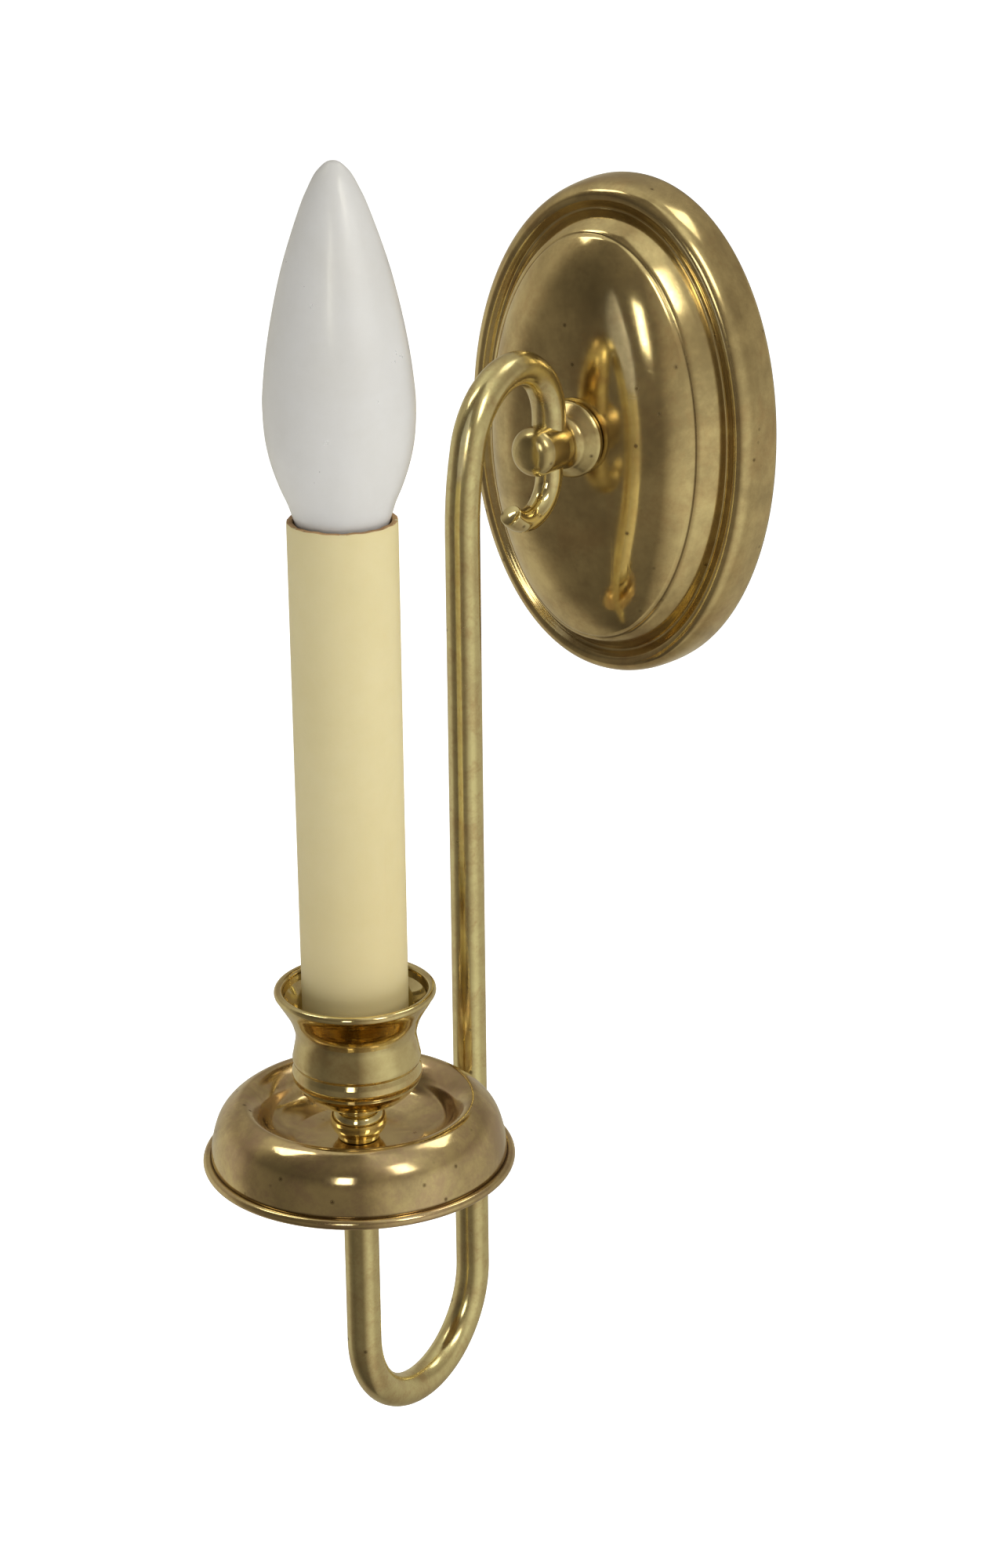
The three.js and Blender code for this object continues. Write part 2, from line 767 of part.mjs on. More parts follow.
// ---- bulb ----
function bulbGlass() {
  const neck = baseRadius - shellSheet - gap;
  const low = baseBottom + 6;
  const tip = sleeveTop + bulbHeight;
  const outline = smooth(
    [
      [neck, baseTop + 0.4],
      [neck + 1, baseTop + 1.5],
      [sleeveBore - 0.45, sleeveTop],
      [bulbRadius - 3.1, sleeveTop + 7],
      [bulbRadius - 1, sleeveTop + 13.7],
      [bulbRadius, sleeveTop + 22.5],
      [bulbRadius - 0.8, sleeveTop + 33.4],
      [bulbRadius - 3.2, sleeveTop + 46.4],
      [bulbRadius - 6.8, sleeveTop + 59.1],
      [bulbRadius - 10.5, tip - 5.4],
      [bulbRadius - 12.6, tip - 1.9],
    ],
    13,
  );
  const outside = [[neck, low], ...outline];
  const inside = otherFace(outside, -glassSheet);
  inside[0] = [neck - glassSheet, low];
  return onCandle(turned([...[[0, tip - glassSheet * 1.4]], ...inside.reverse(), ...outside, [0, tip]], 26));
}

function bulbScrewBase() {
  const inner = baseRadius - shellSheet;
  return onCandle(
    turned(
      [
        [inner, baseTop],
        [inner, baseBottom + 0.8],
        [2.6, baseBottom + 0.4],
        [2.6, baseBottom],
        [baseRadius - 0.8, baseBottom],
        [baseRadius, baseBottom + 0.8],
        [baseRadius, baseTop],
      ],
      28,
    ),
  );
}

function bulbBaseInsulator() {
  const top = baseBottom - gap;
  return onCandle(turned([[0, top], [4.9, top], [4.5, top - 0.7], [2.9, top - 1.8], [0, top - 1.8]], 24));
}

function bulbCentreContact() {
  const top = baseBottom - 2 * gap - 1.8;
  return onCandle(turned([[0, top], [2.1, top], [1.9, top - 0.5], [1.1, top - 0.9], [0, top - 1]], 16));
}

function bulbStem() {
  return onCandle(
    turned(
      [
        [0, baseBottom + 7],
        [3.6, baseBottom + 7],
        [2.4, baseTop + 2],
        [2, mountTop - 2],
        [1.4, mountTop],
        [0, mountTop],
      ],
      16,
    ),
  );
}

function bulbLead(side) {
  const points = [
    [0.7, mountTop + gap],
    [0.9, mountTop + 3],
    [4.6, mountTop + 9],
    [6.2, mountTop + 15],
  ].map(([x, z]) => new THREE.Vector3(side * x, -candleReach, z));
  return swept(new THREE.CatmullRomCurve3(points), 0.3, 6, 8);
}

function bulbFilament() {
  const points = Array.from({ length: 9 }, (_, i) => {
    const [x, y] = [-5.4 + (10.8 * i) / 8, -candleReach + (i % 2 ? 0.6 : -0.6)];
    return new THREE.Vector3(x, y, mountTop + 14.6 + 1.6 * Math.sin((Math.PI * i) / 8));
  });
  return swept(new THREE.CatmullRomCurve3(points), 0.2, 5, 24);
}

// ---- back of the plate ----

function bossNipple() {
  return onBoss(ring(nippleRadius, wireBore, nippleEnd, domeDepth + gap + nippleGrip, 24));
}

function bossLockWasher() {
  return onBoss(ring(nippleWasher, nippleFit, washerFront - washerSheet, washerFront, 24));
}

function bossNut() {
  return onBoss(hexNut(nippleNutFlats, nippleFit, bossNutFront - thinNutHeight, bossNutFront));
}

function crossbarNut() {
  const front = crossbarStand - crossbarSheet - gap;
  return onBoss(hexNut(nippleNutFlats, nippleFit, front - thinNutHeight + 0.5, front));
}

function slotOutline(centreZ, length, width) {
  const half = (length - width) / 2;
  const round = (z, from) =>
    arc(0, z, width / 2, from, from + 180, 6);
  return [...round(centreZ + half, 0), ...round(centreZ - half, 180)];
}

function crossbar() {
  const flat = crossbarFlat;
  const foot = crossbarFlat + crossbarSlope;
  const through = crossbarStand + 4; // past the front face
  const side = [
    [crossbarHalf, 0],
    [crossbarHalf, crossbarSheet],
    [foot, crossbarSheet],
    [flat + 1, crossbarStand],
    [-flat - 1, crossbarStand],
    [-foot, crossbarSheet],
    [-crossbarHalf, crossbarSheet],
    [-crossbarHalf, 0],
    [-foot + 0.9, 0],
    [-flat, crossbarStand - crossbarSheet],
    [flat, crossbarStand - crossbarSheet],
    [foot - 0.9, 0],
  ];
  const shape = new THREE.Shape(side.map(([z, depth]) => new THREE.Vector2(depth, z)));
  const bar = new THREE.ExtrudeGeometry(shape, { depth: crossbarWidth, bevelEnabled: false });
  bar.translate(0, 0, -crossbarWidth / 2);
  // the outline's first axis becomes -Y, its second +Z, and the extrusion runs along X
  bar.applyMatrix4(
    new THREE.Matrix4().makeBasis(
      new THREE.Vector3(0, -1, 0),
      new THREE.Vector3(0, 0, 1),
      new THREE.Vector3(-1, 0, 0),
    ),
  );
  const slots = [1, -1].map((end) =>
    plateOf(slotOutline(end * (boxScrewSpacing / 2 - 1.5), 11, 2 * (boxScrewRadius + 0.35)), -4, 2),
  );
  const centreHole = alongReach(cylinder(nippleFit, 2, through, 24));
  const groundHole = alongReach(cylinder(groundScrewRadius + gap, 2, through, 14));
  return asSolid(bar)
    .subtract(slots[0])
    .subtract(slots[1])
    .subtract(centreHole)
    .subtract(shifted(groundHole, 0, 0, -groundDrop))
    .translate([0, 0, bossHeight]);
}

function panScrew(shank, head, seat, length) {
  return alongReach(
    turned(
      [
        [0, seat - length],
        [shank, seat - length],
        [shank, seat],
        [head, seat],
        [head, seat + 1],
        [head * 0.75, seat + 1.8],
        [0, seat + 2.1],
      ],
      20,
    ),
  );
}

function boxScrew(end) {
  const screw = panScrew(boxScrewRadius, 1.9 * boxScrewRadius, crossbarSheet + gap, 9.5);
  return shifted(screw, 0, 0, bossHeight + (end * boxScrewSpacing) / 2);
}

function groundScrew() {
  const screw = panScrew(groundScrewRadius, 2.25 * groundScrewRadius, crossbarStand + gap, 5.5);
  return shifted(screw, 0, 0, bossHeight - groundDrop);
}

// ---- leads ----
// From the lampholder down into the arm, round to the boss, and out through the nipple to a connector.
function leadPath(side) {
  const x = side * leadOffset;
  const inArm = armLegs(x, bossHeight + leadTurn).reverse();
  const start = socketBottom - gap;
  const exit = nippleEnd - 1.2;
  const bundle = [
    [x, -exit, bossHeight],
    [side * (leadOffset + 0.6), -(exit - 1.7), bossHeight + 0.1],
    [side * (connectorSide / 4), -(exit - 2.1), bossHeight + 0.2],
    [side * (connectorSide / 2 + 1), -(exit - 1.4), bossHeight + 0.4],
    [side * (connectorSide - 3), 0.3 - connectorDepth, connectorFoot - 7],
    [side * connectorSide, -connectorDepth, connectorFoot - 2.6],
    [side * connectorSide, -connectorDepth, connectorFoot + 1.8],
  ].map((p) => new THREE.Vector3(...p));
  const loose = new THREE.CatmullRomCurve3(bundle);
  const reversed = inArm.map((leg) => ({
    steps: leg.steps,
    at: (share) => leg.at(1 - share),
    along: (share) => leg.along(1 - share).negate(),
  }));
  return new Route([
    lineLeg([x, -candleReach, start], [x, -candleReach, bendHeight], 1),
    ...reversed,
    bendLeg(x, -bossReach + leadTurn, bossHeight + leadTurn, leadTurn, 180, 270, 4),
    lineLeg([x, -bossReach + leadTurn, bossHeight], [x, -exit, bossHeight], 1),
    { steps: 14, at: (share) => loose.getPoint(share), along: (share) => loose.getTangent(share) },
  ]);
}

function lead(side) {
  return swept(leadPath(side), leadRadius, 6);
}

function wireConnector(side) {
  const [low, high] = [connectorFoot, connectorFoot + connectorLength];
  const bore = leadRadius + gap + 0.1;
  const outer = connectorRadius;
  return shifted(
    turned(
      [
        [bore, low],
        [outer - 0.2, low],
        [outer, low + 1.5],
        [outer - 0.7, high - 3],
        [outer - 1.8, high],
        [0, high],
        [0, low + 2.4],
        [bore, low + 2.4],
      ],
      18,
    ),
    side * connectorSide,
    -connectorDepth,
    0,
  );
}

// ---- assembly ----
const pieces = [
  ["backplate", backplate(), brownBrass],
  ["arm_boss", armBoss(), brass],
  ["arm", arm(), brass],
  ["arm_tail", armTail(), brass],
  ["arm_seat_collar", armSeatCollar(), brass],
  ["drip_pan", dripPan(), brownBrass],
  ["stem_knop", stemKnop(), brass],
  ["candle_cup", candleCup(), brass],
  ["socket_bracket", socketBracket(), steel],
  ["bracket_washer", bracketWasher(), steel],
  ["cup_nut", cupNut(), brass],
  ["candle_sleeve", candleSleeve(), fibre],
  ["socket_body", socketBody(), phenolic],
  ["socket_screw_shell", socketScrewShell(), brass],
  ["socket_centre_contact", socketCentreContact(), brass],
  ["socket_rivet", socketRivet(), steel],
  ["bulb_glass", bulbGlass(), frostedGlass],
  ["bulb_screw_base", bulbScrewBase(), nickel],
  ["bulb_base_insulator", bulbBaseInsulator(), blackGlass],
  ["bulb_centre_contact", bulbCentreContact(), nickel],
  ["bulb_stem", bulbStem(), clearGlass],
  ["bulb_lead_left", bulbLead(-1), nickel],
  ["bulb_lead_right", bulbLead(1), nickel],
  ["bulb_filament", bulbFilament(), tungsten],
  ["boss_nipple", bossNipple(), steel],
  ["boss_lock_washer", bossLockWasher(), steel],
  ["boss_nut", bossNut(), steel],
  ["crossbar", crossbar(), steel],
  ["crossbar_nut", crossbarNut(), steel],
  ["box_screw_upper", boxScrew(1), steel],
  ["box_screw_lower", boxScrew(-1), steel],
  ["ground_screw", groundScrew(), greenScrew],
  ["hot_lead", lead(-1), blackWire],
  ["neutral_lead", lead(1), whiteWire],
  ["wire_connector_hot", wireConnector(-1), orangeCap],
  ["wire_connector_neutral", wireConnector(1), orangeCap],
];

const sconce = new THREE.Group();
sconce.name = "wall_sconce";
for (const [name, solid, material] of pieces) {
  const mesh = new THREE.Mesh(asGeometry(solid), material);
  mesh.name = name;
  sconce.add(mesh);
}

export default sconce;
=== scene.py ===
# Brass wall sconce with one electric candle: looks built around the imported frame.
import json
import math

import bpy
import numpy as np
from mathutils import Matrix, Vector


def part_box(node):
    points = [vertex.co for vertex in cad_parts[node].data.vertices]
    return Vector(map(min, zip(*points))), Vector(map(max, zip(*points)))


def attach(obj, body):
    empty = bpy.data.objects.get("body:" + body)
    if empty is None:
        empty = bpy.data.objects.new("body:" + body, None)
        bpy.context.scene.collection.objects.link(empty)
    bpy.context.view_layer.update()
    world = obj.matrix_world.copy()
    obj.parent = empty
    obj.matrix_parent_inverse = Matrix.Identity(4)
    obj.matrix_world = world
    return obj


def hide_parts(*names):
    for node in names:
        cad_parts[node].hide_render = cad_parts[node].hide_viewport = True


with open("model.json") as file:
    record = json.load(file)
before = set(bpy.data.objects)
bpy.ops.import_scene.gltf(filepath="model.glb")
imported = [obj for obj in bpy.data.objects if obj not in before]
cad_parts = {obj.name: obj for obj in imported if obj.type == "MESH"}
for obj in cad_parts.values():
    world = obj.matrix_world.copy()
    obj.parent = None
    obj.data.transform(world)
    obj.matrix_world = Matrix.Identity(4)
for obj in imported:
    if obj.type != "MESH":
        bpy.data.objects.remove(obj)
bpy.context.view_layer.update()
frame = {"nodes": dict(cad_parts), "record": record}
bodyOf = {node: body for body, names in frame["record"]["behaviour"]["bodies"].items() for node in names}
mm = 0.001
seed = 11
rng = np.random.default_rng(seed)
print("frame loaded:", len(frame["nodes"]), "pieces")


def nodeBox(node):
    low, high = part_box(node)
    return low / mm, high / mm  # shapes below are worked out in millimetres


plateLow, plateHigh = nodeBox("backplate")
sleeveLow, sleeveHigh = nodeBox("candle_sleeve")
cupLow, cupHigh = nodeBox("candle_cup")
panLow, panHigh = nodeBox("drip_pan")
bossLow, bossHigh = nodeBox("arm_boss")
candleY = (sleeveLow.y + sleeveHigh.y) / 2
bossZ = (bossLow.z + bossHigh.z) / 2
tubeRadius = nodeBox("arm")[1].x
sleeveRadius = sleeveHigh.x


def arc(x, y, radius, start, end, steps=12):
    turns = np.radians(np.linspace(start, end, steps + 1))
    return [(x + radius * math.cos(a), y + radius * math.sin(a)) for a in turns]


def flowing(points, steps=40):
    pts = np.array(points, float)
    last = len(pts) - 1
    out = []
    for t in np.linspace(0, last, steps + 1):
        i = min(int(t), last - 1)
        w = t - i
        a, b, c, d = pts[max(i - 1, 0)], pts[i], pts[i + 1], pts[min(i + 2, last)]
        p, q = (c - a) / 2, (d - b) / 2
        out.append(tuple((2 * b - 2 * c + p + q) * w**3 + (3 * c - 3 * b - 2 * p - q) * w**2 + p * w + b))
    return out


def eased(points, radius, steps=4, closed=False):
    # rounds every corner sharper than about 20 degrees, as a file or a tumbler does
    pts = [Vector(p) for p in points]
    count = len(pts)
    out = []
    for i, p in enumerate(pts):
        if not closed and i in (0, count - 1):
            out.append(tuple(p))
            continue
        before, after = pts[i - 1] - p, pts[(i + 1) % count] - p
        if before.length < 1e-6 or after.length < 1e-6:
            continue
        turn = math.pi - before.angle(after)
        if turn < 0.35:
            out.append(tuple(p))
            continue
        back = min(radius * math.tan(turn / 2), before.length * 0.45, after.length * 0.45)
        start, end = p + before.normalized() * back, p + after.normalized() * back
        for k in range(steps + 1):
            t = k / steps
            out.append(tuple(start * (1 - t) ** 2 + p * 2 * t * (1 - t) + end * t * t))
    return out


def makePiece(name, points, faces, node, material, sharp=32, inner=None, innerFrom=None):
    mesh = bpy.data.meshes.new(name)
    mesh.from_pydata([Vector(p) * mm for p in points], [], faces)
    piece = bpy.data.objects.new(name, mesh)
    bpy.context.scene.collection.objects.link(piece)
    return finishPiece(piece, node, material, sharp, inner, innerFrom)


def finishPiece(piece, node, material, sharp=32, inner=None, innerFrom=None):
    mesh = piece.data
    mesh.validate()
    mesh.shade_smooth()
    mesh.set_sharp_from_angle(angle=math.radians(sharp))
    mesh.materials.clear()
    mesh.materials.append(material)
    if inner:
        mesh.materials.append(inner)
        for face in mesh.polygons:
            if innerFrom(face.center / mm, face.normal):
                face.material_index = 1
    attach(piece, bodyOf[node])
    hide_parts(node)
    return piece


def upright(r, turn, h, centre):
    return (centre[0] + r * math.cos(turn), centre[1] + r * math.sin(turn), centre[2] + h)


def outward(r, turn, h, centre):
    return (centre[0] + r * math.cos(turn), centre[1] - h, centre[2] + r * math.sin(turn))


def turnedMesh(profile, centre, place=upright, sides=128, shape=None):
    # rings about an axis; ends on the axis close to a point, otherwise the outline closes on itself
    points, faces, rings = [], [], []
    for r, h in profile:
        if r < 1e-6:
            rings.append([len(points)])
            points.append(place(0, 0, h, centre))
            continue
        ring = []
        for k in range(sides):
            turn = 2 * math.pi * k / sides
            rr, hh = shape(r, turn, h) if shape else (r, h)
            ring.append(len(points))
            points.append(place(rr, turn, hh, centre))
        rings.append(ring)
    pairs = list(zip(rings, rings[1:]))
    if len(rings[0]) > 1 and len(rings[-1]) > 1:
        pairs.append((rings[-1], rings[0]))
    for a, b in pairs:
        for k in range(sides):
            n = (k + 1) % sides
            if len(a) == 1 and len(b) == 1:
                break
            if len(a) == 1:
                faces.append((a[0], b[n], b[k]))
            elif len(b) == 1:
                faces.append((a[k], a[n], b[0]))
            else:
                faces.append((a[k], a[n], b[n], b[k]))
    return facingOut(points, faces)


def facingOut(points, faces):
    volume = 0.0
    for face in faces:
        a = Vector(points[face[0]])
        for i in range(1, len(face) - 1):
            volume += a.dot(Vector(points[face[i]]).cross(Vector(points[face[i + 1]])))
    if volume < 0:
        faces = [tuple(reversed(face)) for face in faces]
    return points, faces


def turned(name, profile, centre, node, material, place=upright, sides=128, shape=None, **more):
    points, faces = turnedMesh(profile, centre, place, sides, shape)
    return makePiece(name, points, faces, node, material, **more)


def sweptMesh(path, radii, sides, inside=None):
    # path points lie in planes of constant x or wander freely; the frame is carried along
    path = [Vector(p) for p in path]
    points, faces = [], []
    side = Vector((1, 0, 0))
    sections = []
    for i, p in enumerate(path):
        along = (path[min(i + 1, len(path) - 1)] - path[max(i - 1, 0)]).normalized()
        side = (side - along * side.dot(along)).normalized()
        up = along.cross(side)
        sections.append((p, side.copy(), up, along))

    def wall(radiusAt):
        start = len(points)
        for i, (p, s, u, _) in enumerate(sections):
            for k in range(sides):
                a = 2 * math.pi * k / sides
                points.append(p + (s * math.cos(a) + u * math.sin(a)) * radiusAt(i))
        return start

    def skin(start, flip):
        for i in range(len(sections) - 1):
            for k in range(sides):
                n = (k + 1) % sides
                quad = [start + i * sides + k, start + i * sides + n]
                quad += [start + (i + 1) * sides + n, start + (i + 1) * sides + k]
                faces.append(tuple(reversed(quad)) if flip else tuple(quad))

    outer = wall(lambda i: radii[i])
    skin(outer, False)
    lastRing = (len(sections) - 1) * sides
    if inside:
        bore = wall(lambda i: inside)
        skin(bore, True)
        for k in range(sides):
            n = (k + 1) % sides
            faces.append((outer + n, outer + k, bore + k, bore + n))
            a, b = outer + lastRing, bore + lastRing
            faces.append((a + k, a + n, b + n, b + k))
    else:
        faces.append(tuple(reversed(range(outer, outer + sides))))
        faces.append(tuple(range(outer + lastRing, outer + lastRing + sides)))
    return facingOut(points, faces)


def swept(name, path, radius, node, material, sides=24, inside=None, **more):
    radii = radius if isinstance(radius, list) else [radius] * len(path)
    points, faces = sweptMesh(path, radii, sides, inside)
    return makePiece(name, points, faces, node, material, **more)


def cutter(points, faces):
    mesh = bpy.data.meshes.new("cutter")
    mesh.from_pydata([Vector(p) * mm for p in points], [], faces)
    tool = bpy.data.objects.new("cutter", mesh)
    bpy.context.scene.collection.objects.link(tool)
    return tool


def carvedPiece(name, points, faces, tools, node, material, **more):
    base = cutter(points, faces)
    for tool in tools:
        step = base.modifiers.new("cut", "BOOLEAN")
        step.operation = "DIFFERENCE"
        step.solver = "EXACT"
        step.object = tool
    bpy.context.view_layer.update()
    shaped = base.evaluated_get(bpy.context.evaluated_depsgraph_get())
    mesh = bpy.data.meshes.new_from_object(shaped)
    mesh.name = name
    for used in [base, *tools]:
        bpy.data.objects.remove(used)
    piece = bpy.data.objects.new(name, mesh)
    bpy.context.scene.collection.objects.link(piece)
    return finishPiece(piece, node, material, **more)


def blockMesh(low, high):
    points = [(x, y, z) for x in (low[0], high[0]) for y in (low[1], high[1]) for z in (low[2], high[2])]
    faces = [(0, 1, 3, 2), (4, 6, 7, 5), (0, 4, 5, 1), (2, 3, 7, 6), (0, 2, 6, 4), (1, 5, 7, 3)]
    return facingOut(points, faces)


def threadShape(crest, pitch, depth, start, end, hand=1):
    # a helical ridge that fades out at both ends
    def shape(r, turn, h):
        if abs(r - crest) > 0.02 or not start < h < end:
            return r, h
        wave = abs(((h / pitch - hand * turn / (2 * math.pi)) % 1) * 2 - 1)
        fade = min(1, (h - start) / pitch, (end - h) / pitch)
        return r - depth * wave * fade, h

    return shape


def easedCopy(name, node, material, bevel=0.25, sharp=30):
    # same solid as the node, with its edges broken
    mesh = frame["nodes"][node].data.copy()
    piece = bpy.data.objects.new(name, mesh)
    bpy.context.scene.collection.objects.link(piece)
    bpy.context.view_layer.objects.active = piece
    weld = piece.modifiers.new("weld", "WELD")
    weld.merge_threshold = 1e-6
    flat = piece.modifiers.new("flat", "DECIMATE")
    flat.decimate_type = "DISSOLVE"
    flat.angle_limit = math.radians(1)
    edge = piece.modifiers.new("edge", "BEVEL")
    edge.width = bevel * mm
    edge.segments = 3
    edge.limit_method = "ANGLE"
    edge.angle_limit = math.radians(sharp)
    bpy.context.view_layer.update()
    shaped = piece.evaluated_get(bpy.context.evaluated_depsgraph_get())
    done = bpy.data.meshes.new_from_object(shaped)
    piece.modifiers.clear()
    piece.data = done
    done.name = name
    return finishPiece(piece, node, material, sharp=35)


def newGroup(name, inputs, outputs):
    # each surface effect is a node group that several materials use
    group = bpy.data.node_groups.new(name, "ShaderNodeTree")
    for label, kind, value in inputs:
        socket = group.interface.new_socket(name=label, in_out="INPUT", socket_type=kind)
        socket.default_value = value
    for label, kind in outputs:
        group.interface.new_socket(name=label, in_out="OUTPUT", socket_type=kind)
    return group, group.nodes.new("NodeGroupInput"), group.nodes.new("NodeGroupOutput")


def node(tree, kind, **settings):
    made = tree.nodes.new(kind)
    for key, value in settings.items():
        if key in made.inputs:
            made.inputs[key].default_value = value
        else:
            setattr(made, key, value)
    return made


def remap(tree, value, low, high, toLow=0.0, toHigh=1.0, smooth=True):
    made = node(tree, "ShaderNodeMapRange", interpolation_type="SMOOTHSTEP" if smooth else "LINEAR")
    tree.links.new(value, made.inputs["Value"])
    for key, source in (("From Min", low), ("From Max", high), ("To Min", toLow), ("To Max", toHigh)):
        if isinstance(source, (int, float)):
            made.inputs[key].default_value = source
        else:
            tree.links.new(source, made.inputs[key])
    return made.outputs["Result"]


def maths(tree, operation, a, b=0.0):
    made = node(tree, "ShaderNodeMath", operation=operation)
    for socket, source in zip(made.inputs, (a, b)):
        if isinstance(source, (int, float)):
            socket.default_value = source
        else:
            tree.links.new(source, socket)
    return made.outputs[0]


def noiseOf(tree, vector, scale, detail=4.0, roughness=0.55, distortion=0.0):
    made = node(tree, "ShaderNodeTexNoise", Detail=detail, Roughness=roughness, Distortion=distortion)
    tree.links.new(vector, made.inputs["Vector"])
    if isinstance(scale, (int, float)):
        made.inputs["Scale"].default_value = scale
    else:
        tree.links.new(scale, made.inputs["Scale"])
    return made.outputs["Fac"]


def tarnishCloud():
    # soft patches with a finer mottle inside them
    group, given, out = newGroup(
        "tarnishCloud",
        [
            ("Scale", "NodeSocketFloat", 40.0),
            ("Cover", "NodeSocketFloat", 0.5),
            ("Softness", "NodeSocketFloat", 0.12),
        ],
        [("Mask", "NodeSocketFloat")],
    )
    place = node(group, "ShaderNodeTexCoord").outputs["Object"]
    broad = noiseOf(group, place, given.outputs["Scale"], 5.0, 0.6, 0.6)
    fine = noiseOf(group, place, maths(group, "MULTIPLY", given.outputs["Scale"], 7.0), 4.0, 0.7)
    mixed = maths(group, "ADD", maths(group, "MULTIPLY", broad, 0.72), maths(group, "MULTIPLY", fine, 0.28))
    edge = maths(group, "SUBTRACT", 1.0, given.outputs["Cover"])
    middle = remap(group, edge, 0.0, 1.0, 0.3, 0.7, smooth=False)
    low = maths(group, "SUBTRACT", middle, given.outputs["Softness"])
    high = maths(group, "ADD", middle, given.outputs["Softness"])
    group.links.new(remap(group, mixed, low, high), out.inputs["Mask"])
    return group


def fineScratches():
    # long shallow wiping marks in two directions
    group, given, out = newGroup(
        "fineScratches",
        [("Scale", "NodeSocketFloat", 300.0), ("Amount", "NodeSocketFloat", 0.5)],
        [("Height", "NodeSocketFloat"), ("Mask", "NodeSocketFloat")],
    )
    place = node(group, "ShaderNodeTexCoord").outputs["Object"]
    marks = []
    for turn, stretch in (((0.3, 0.2, 0.5), (1.0, 1.0, 0.05)), ((0.9, 1.3, 0.2), (0.06, 1.0, 1.0))):
        move = node(group, "ShaderNodeMapping")
        move.inputs["Rotation"].default_value = turn
        move.inputs["Scale"].default_value = stretch
        group.links.new(place, move.inputs["Vector"])
        grain = noiseOf(group, move.outputs["Vector"], given.outputs["Scale"], 3.0, 0.7)
        marks.append(remap(group, grain, 0.62, 0.74))
    both = maths(group, "MAXIMUM", marks[0], marks[1])
    scaled = maths(group, "MULTIPLY", both, given.outputs["Amount"])
    group.links.new(scaled, out.inputs["Mask"])
    group.links.new(maths(group, "MULTIPLY", scaled, -1.0), out.inputs["Height"])
    return group


def darkSpecks():
    # scattered pits and fly specks
    group, given, out = newGroup(
        "darkSpecks",
        [
            ("Scale", "NodeSocketFloat", 400.0),
            ("Density", "NodeSocketFloat", 0.2),
            ("Size", "NodeSocketFloat", 0.25),
        ],
        [("Mask", "NodeSocketFloat")],
    )
    place = node(group, "ShaderNodeTexCoord").outputs["Object"]
    cells = node(group, "ShaderNodeTexVoronoi", feature="F1")
    group.links.new(place, cells.inputs["Vector"])
    group.links.new(given.outputs["Scale"], cells.inputs["Scale"])
    near = maths(group, "SUBTRACT", 1.0, remap(group, cells.outputs["Distance"], 0.04, given.outputs["Size"]))
    pick = node(group, "ShaderNodeSeparateColor")
    group.links.new(cells.outputs["Color"], pick.inputs["Color"])
    few = maths(group, "LESS_THAN", pick.outputs[0], given.outputs["Density"])
    group.links.new(maths(group, "MULTIPLY", near, few), out.inputs["Mask"])
    return group


def edgeWearAndHollowShade():
    # bright on raised edges, which is wear; dark in the hollows, which is painted shade
    group, given, out = newGroup(
        "edgeWearAndHollowShade",
        [("Amount", "NodeSocketFloat", 1.0)],
        [("Raised", "NodeSocketFloat"), ("HollowShade", "NodeSocketFloat")],
    )
    shape = node(group, "ShaderNodeNewGeometry").outputs["Pointiness"]
    raised = maths(group, "MULTIPLY", remap(group, shape, 0.505, 0.56), given.outputs["Amount"])
    hollowShade = maths(group, "MULTIPLY", remap(group, shape, 0.495, 0.44), given.outputs["Amount"])
    group.links.new(raised, out.inputs["Raised"])
    group.links.new(hollowShade, out.inputs["HollowShade"])
    return group


effects = {made.name: made for made in (tarnishCloud(), fineScratches(), darkSpecks(), edgeWearAndHollowShade())}
print("surface effects built")


def useEffect(tree, name, **values):
    made = tree.nodes.new("ShaderNodeGroup")
    made.node_tree = effects[name]
    for key, value in values.items():
        made.inputs[key].default_value = value
    return made.outputs


def blended(tree, factor, a, b):
    made = node(tree, "ShaderNodeMix", data_type="RGBA")
    tree.links.new(factor, made.inputs[0])
    for socket, source in ((made.inputs[6], a), (made.inputs[7], b)):
        if isinstance(source, tuple):
            socket.default_value = (*source, 1.0)
        else:
            tree.links.new(source, socket)
    return made.outputs[2]


def bumped(tree, heights, surface):
    normal = None
    for height, strength, depth in heights:
        bump = node(tree, "ShaderNodeBump", Strength=strength, Distance=depth * mm)
        tree.links.new(height, bump.inputs["Height"])
        if normal:
            tree.links.new(normal, bump.inputs["Normal"])
        normal = bump.outputs["Normal"]
    tree.links.new(normal, surface.inputs["Normal"])


def newMaterial(name):
    made = bpy.data.materials.new(name)
    made.use_nodes = True
    return made, made.node_tree, made.node_tree.nodes["Principled BSDF"]


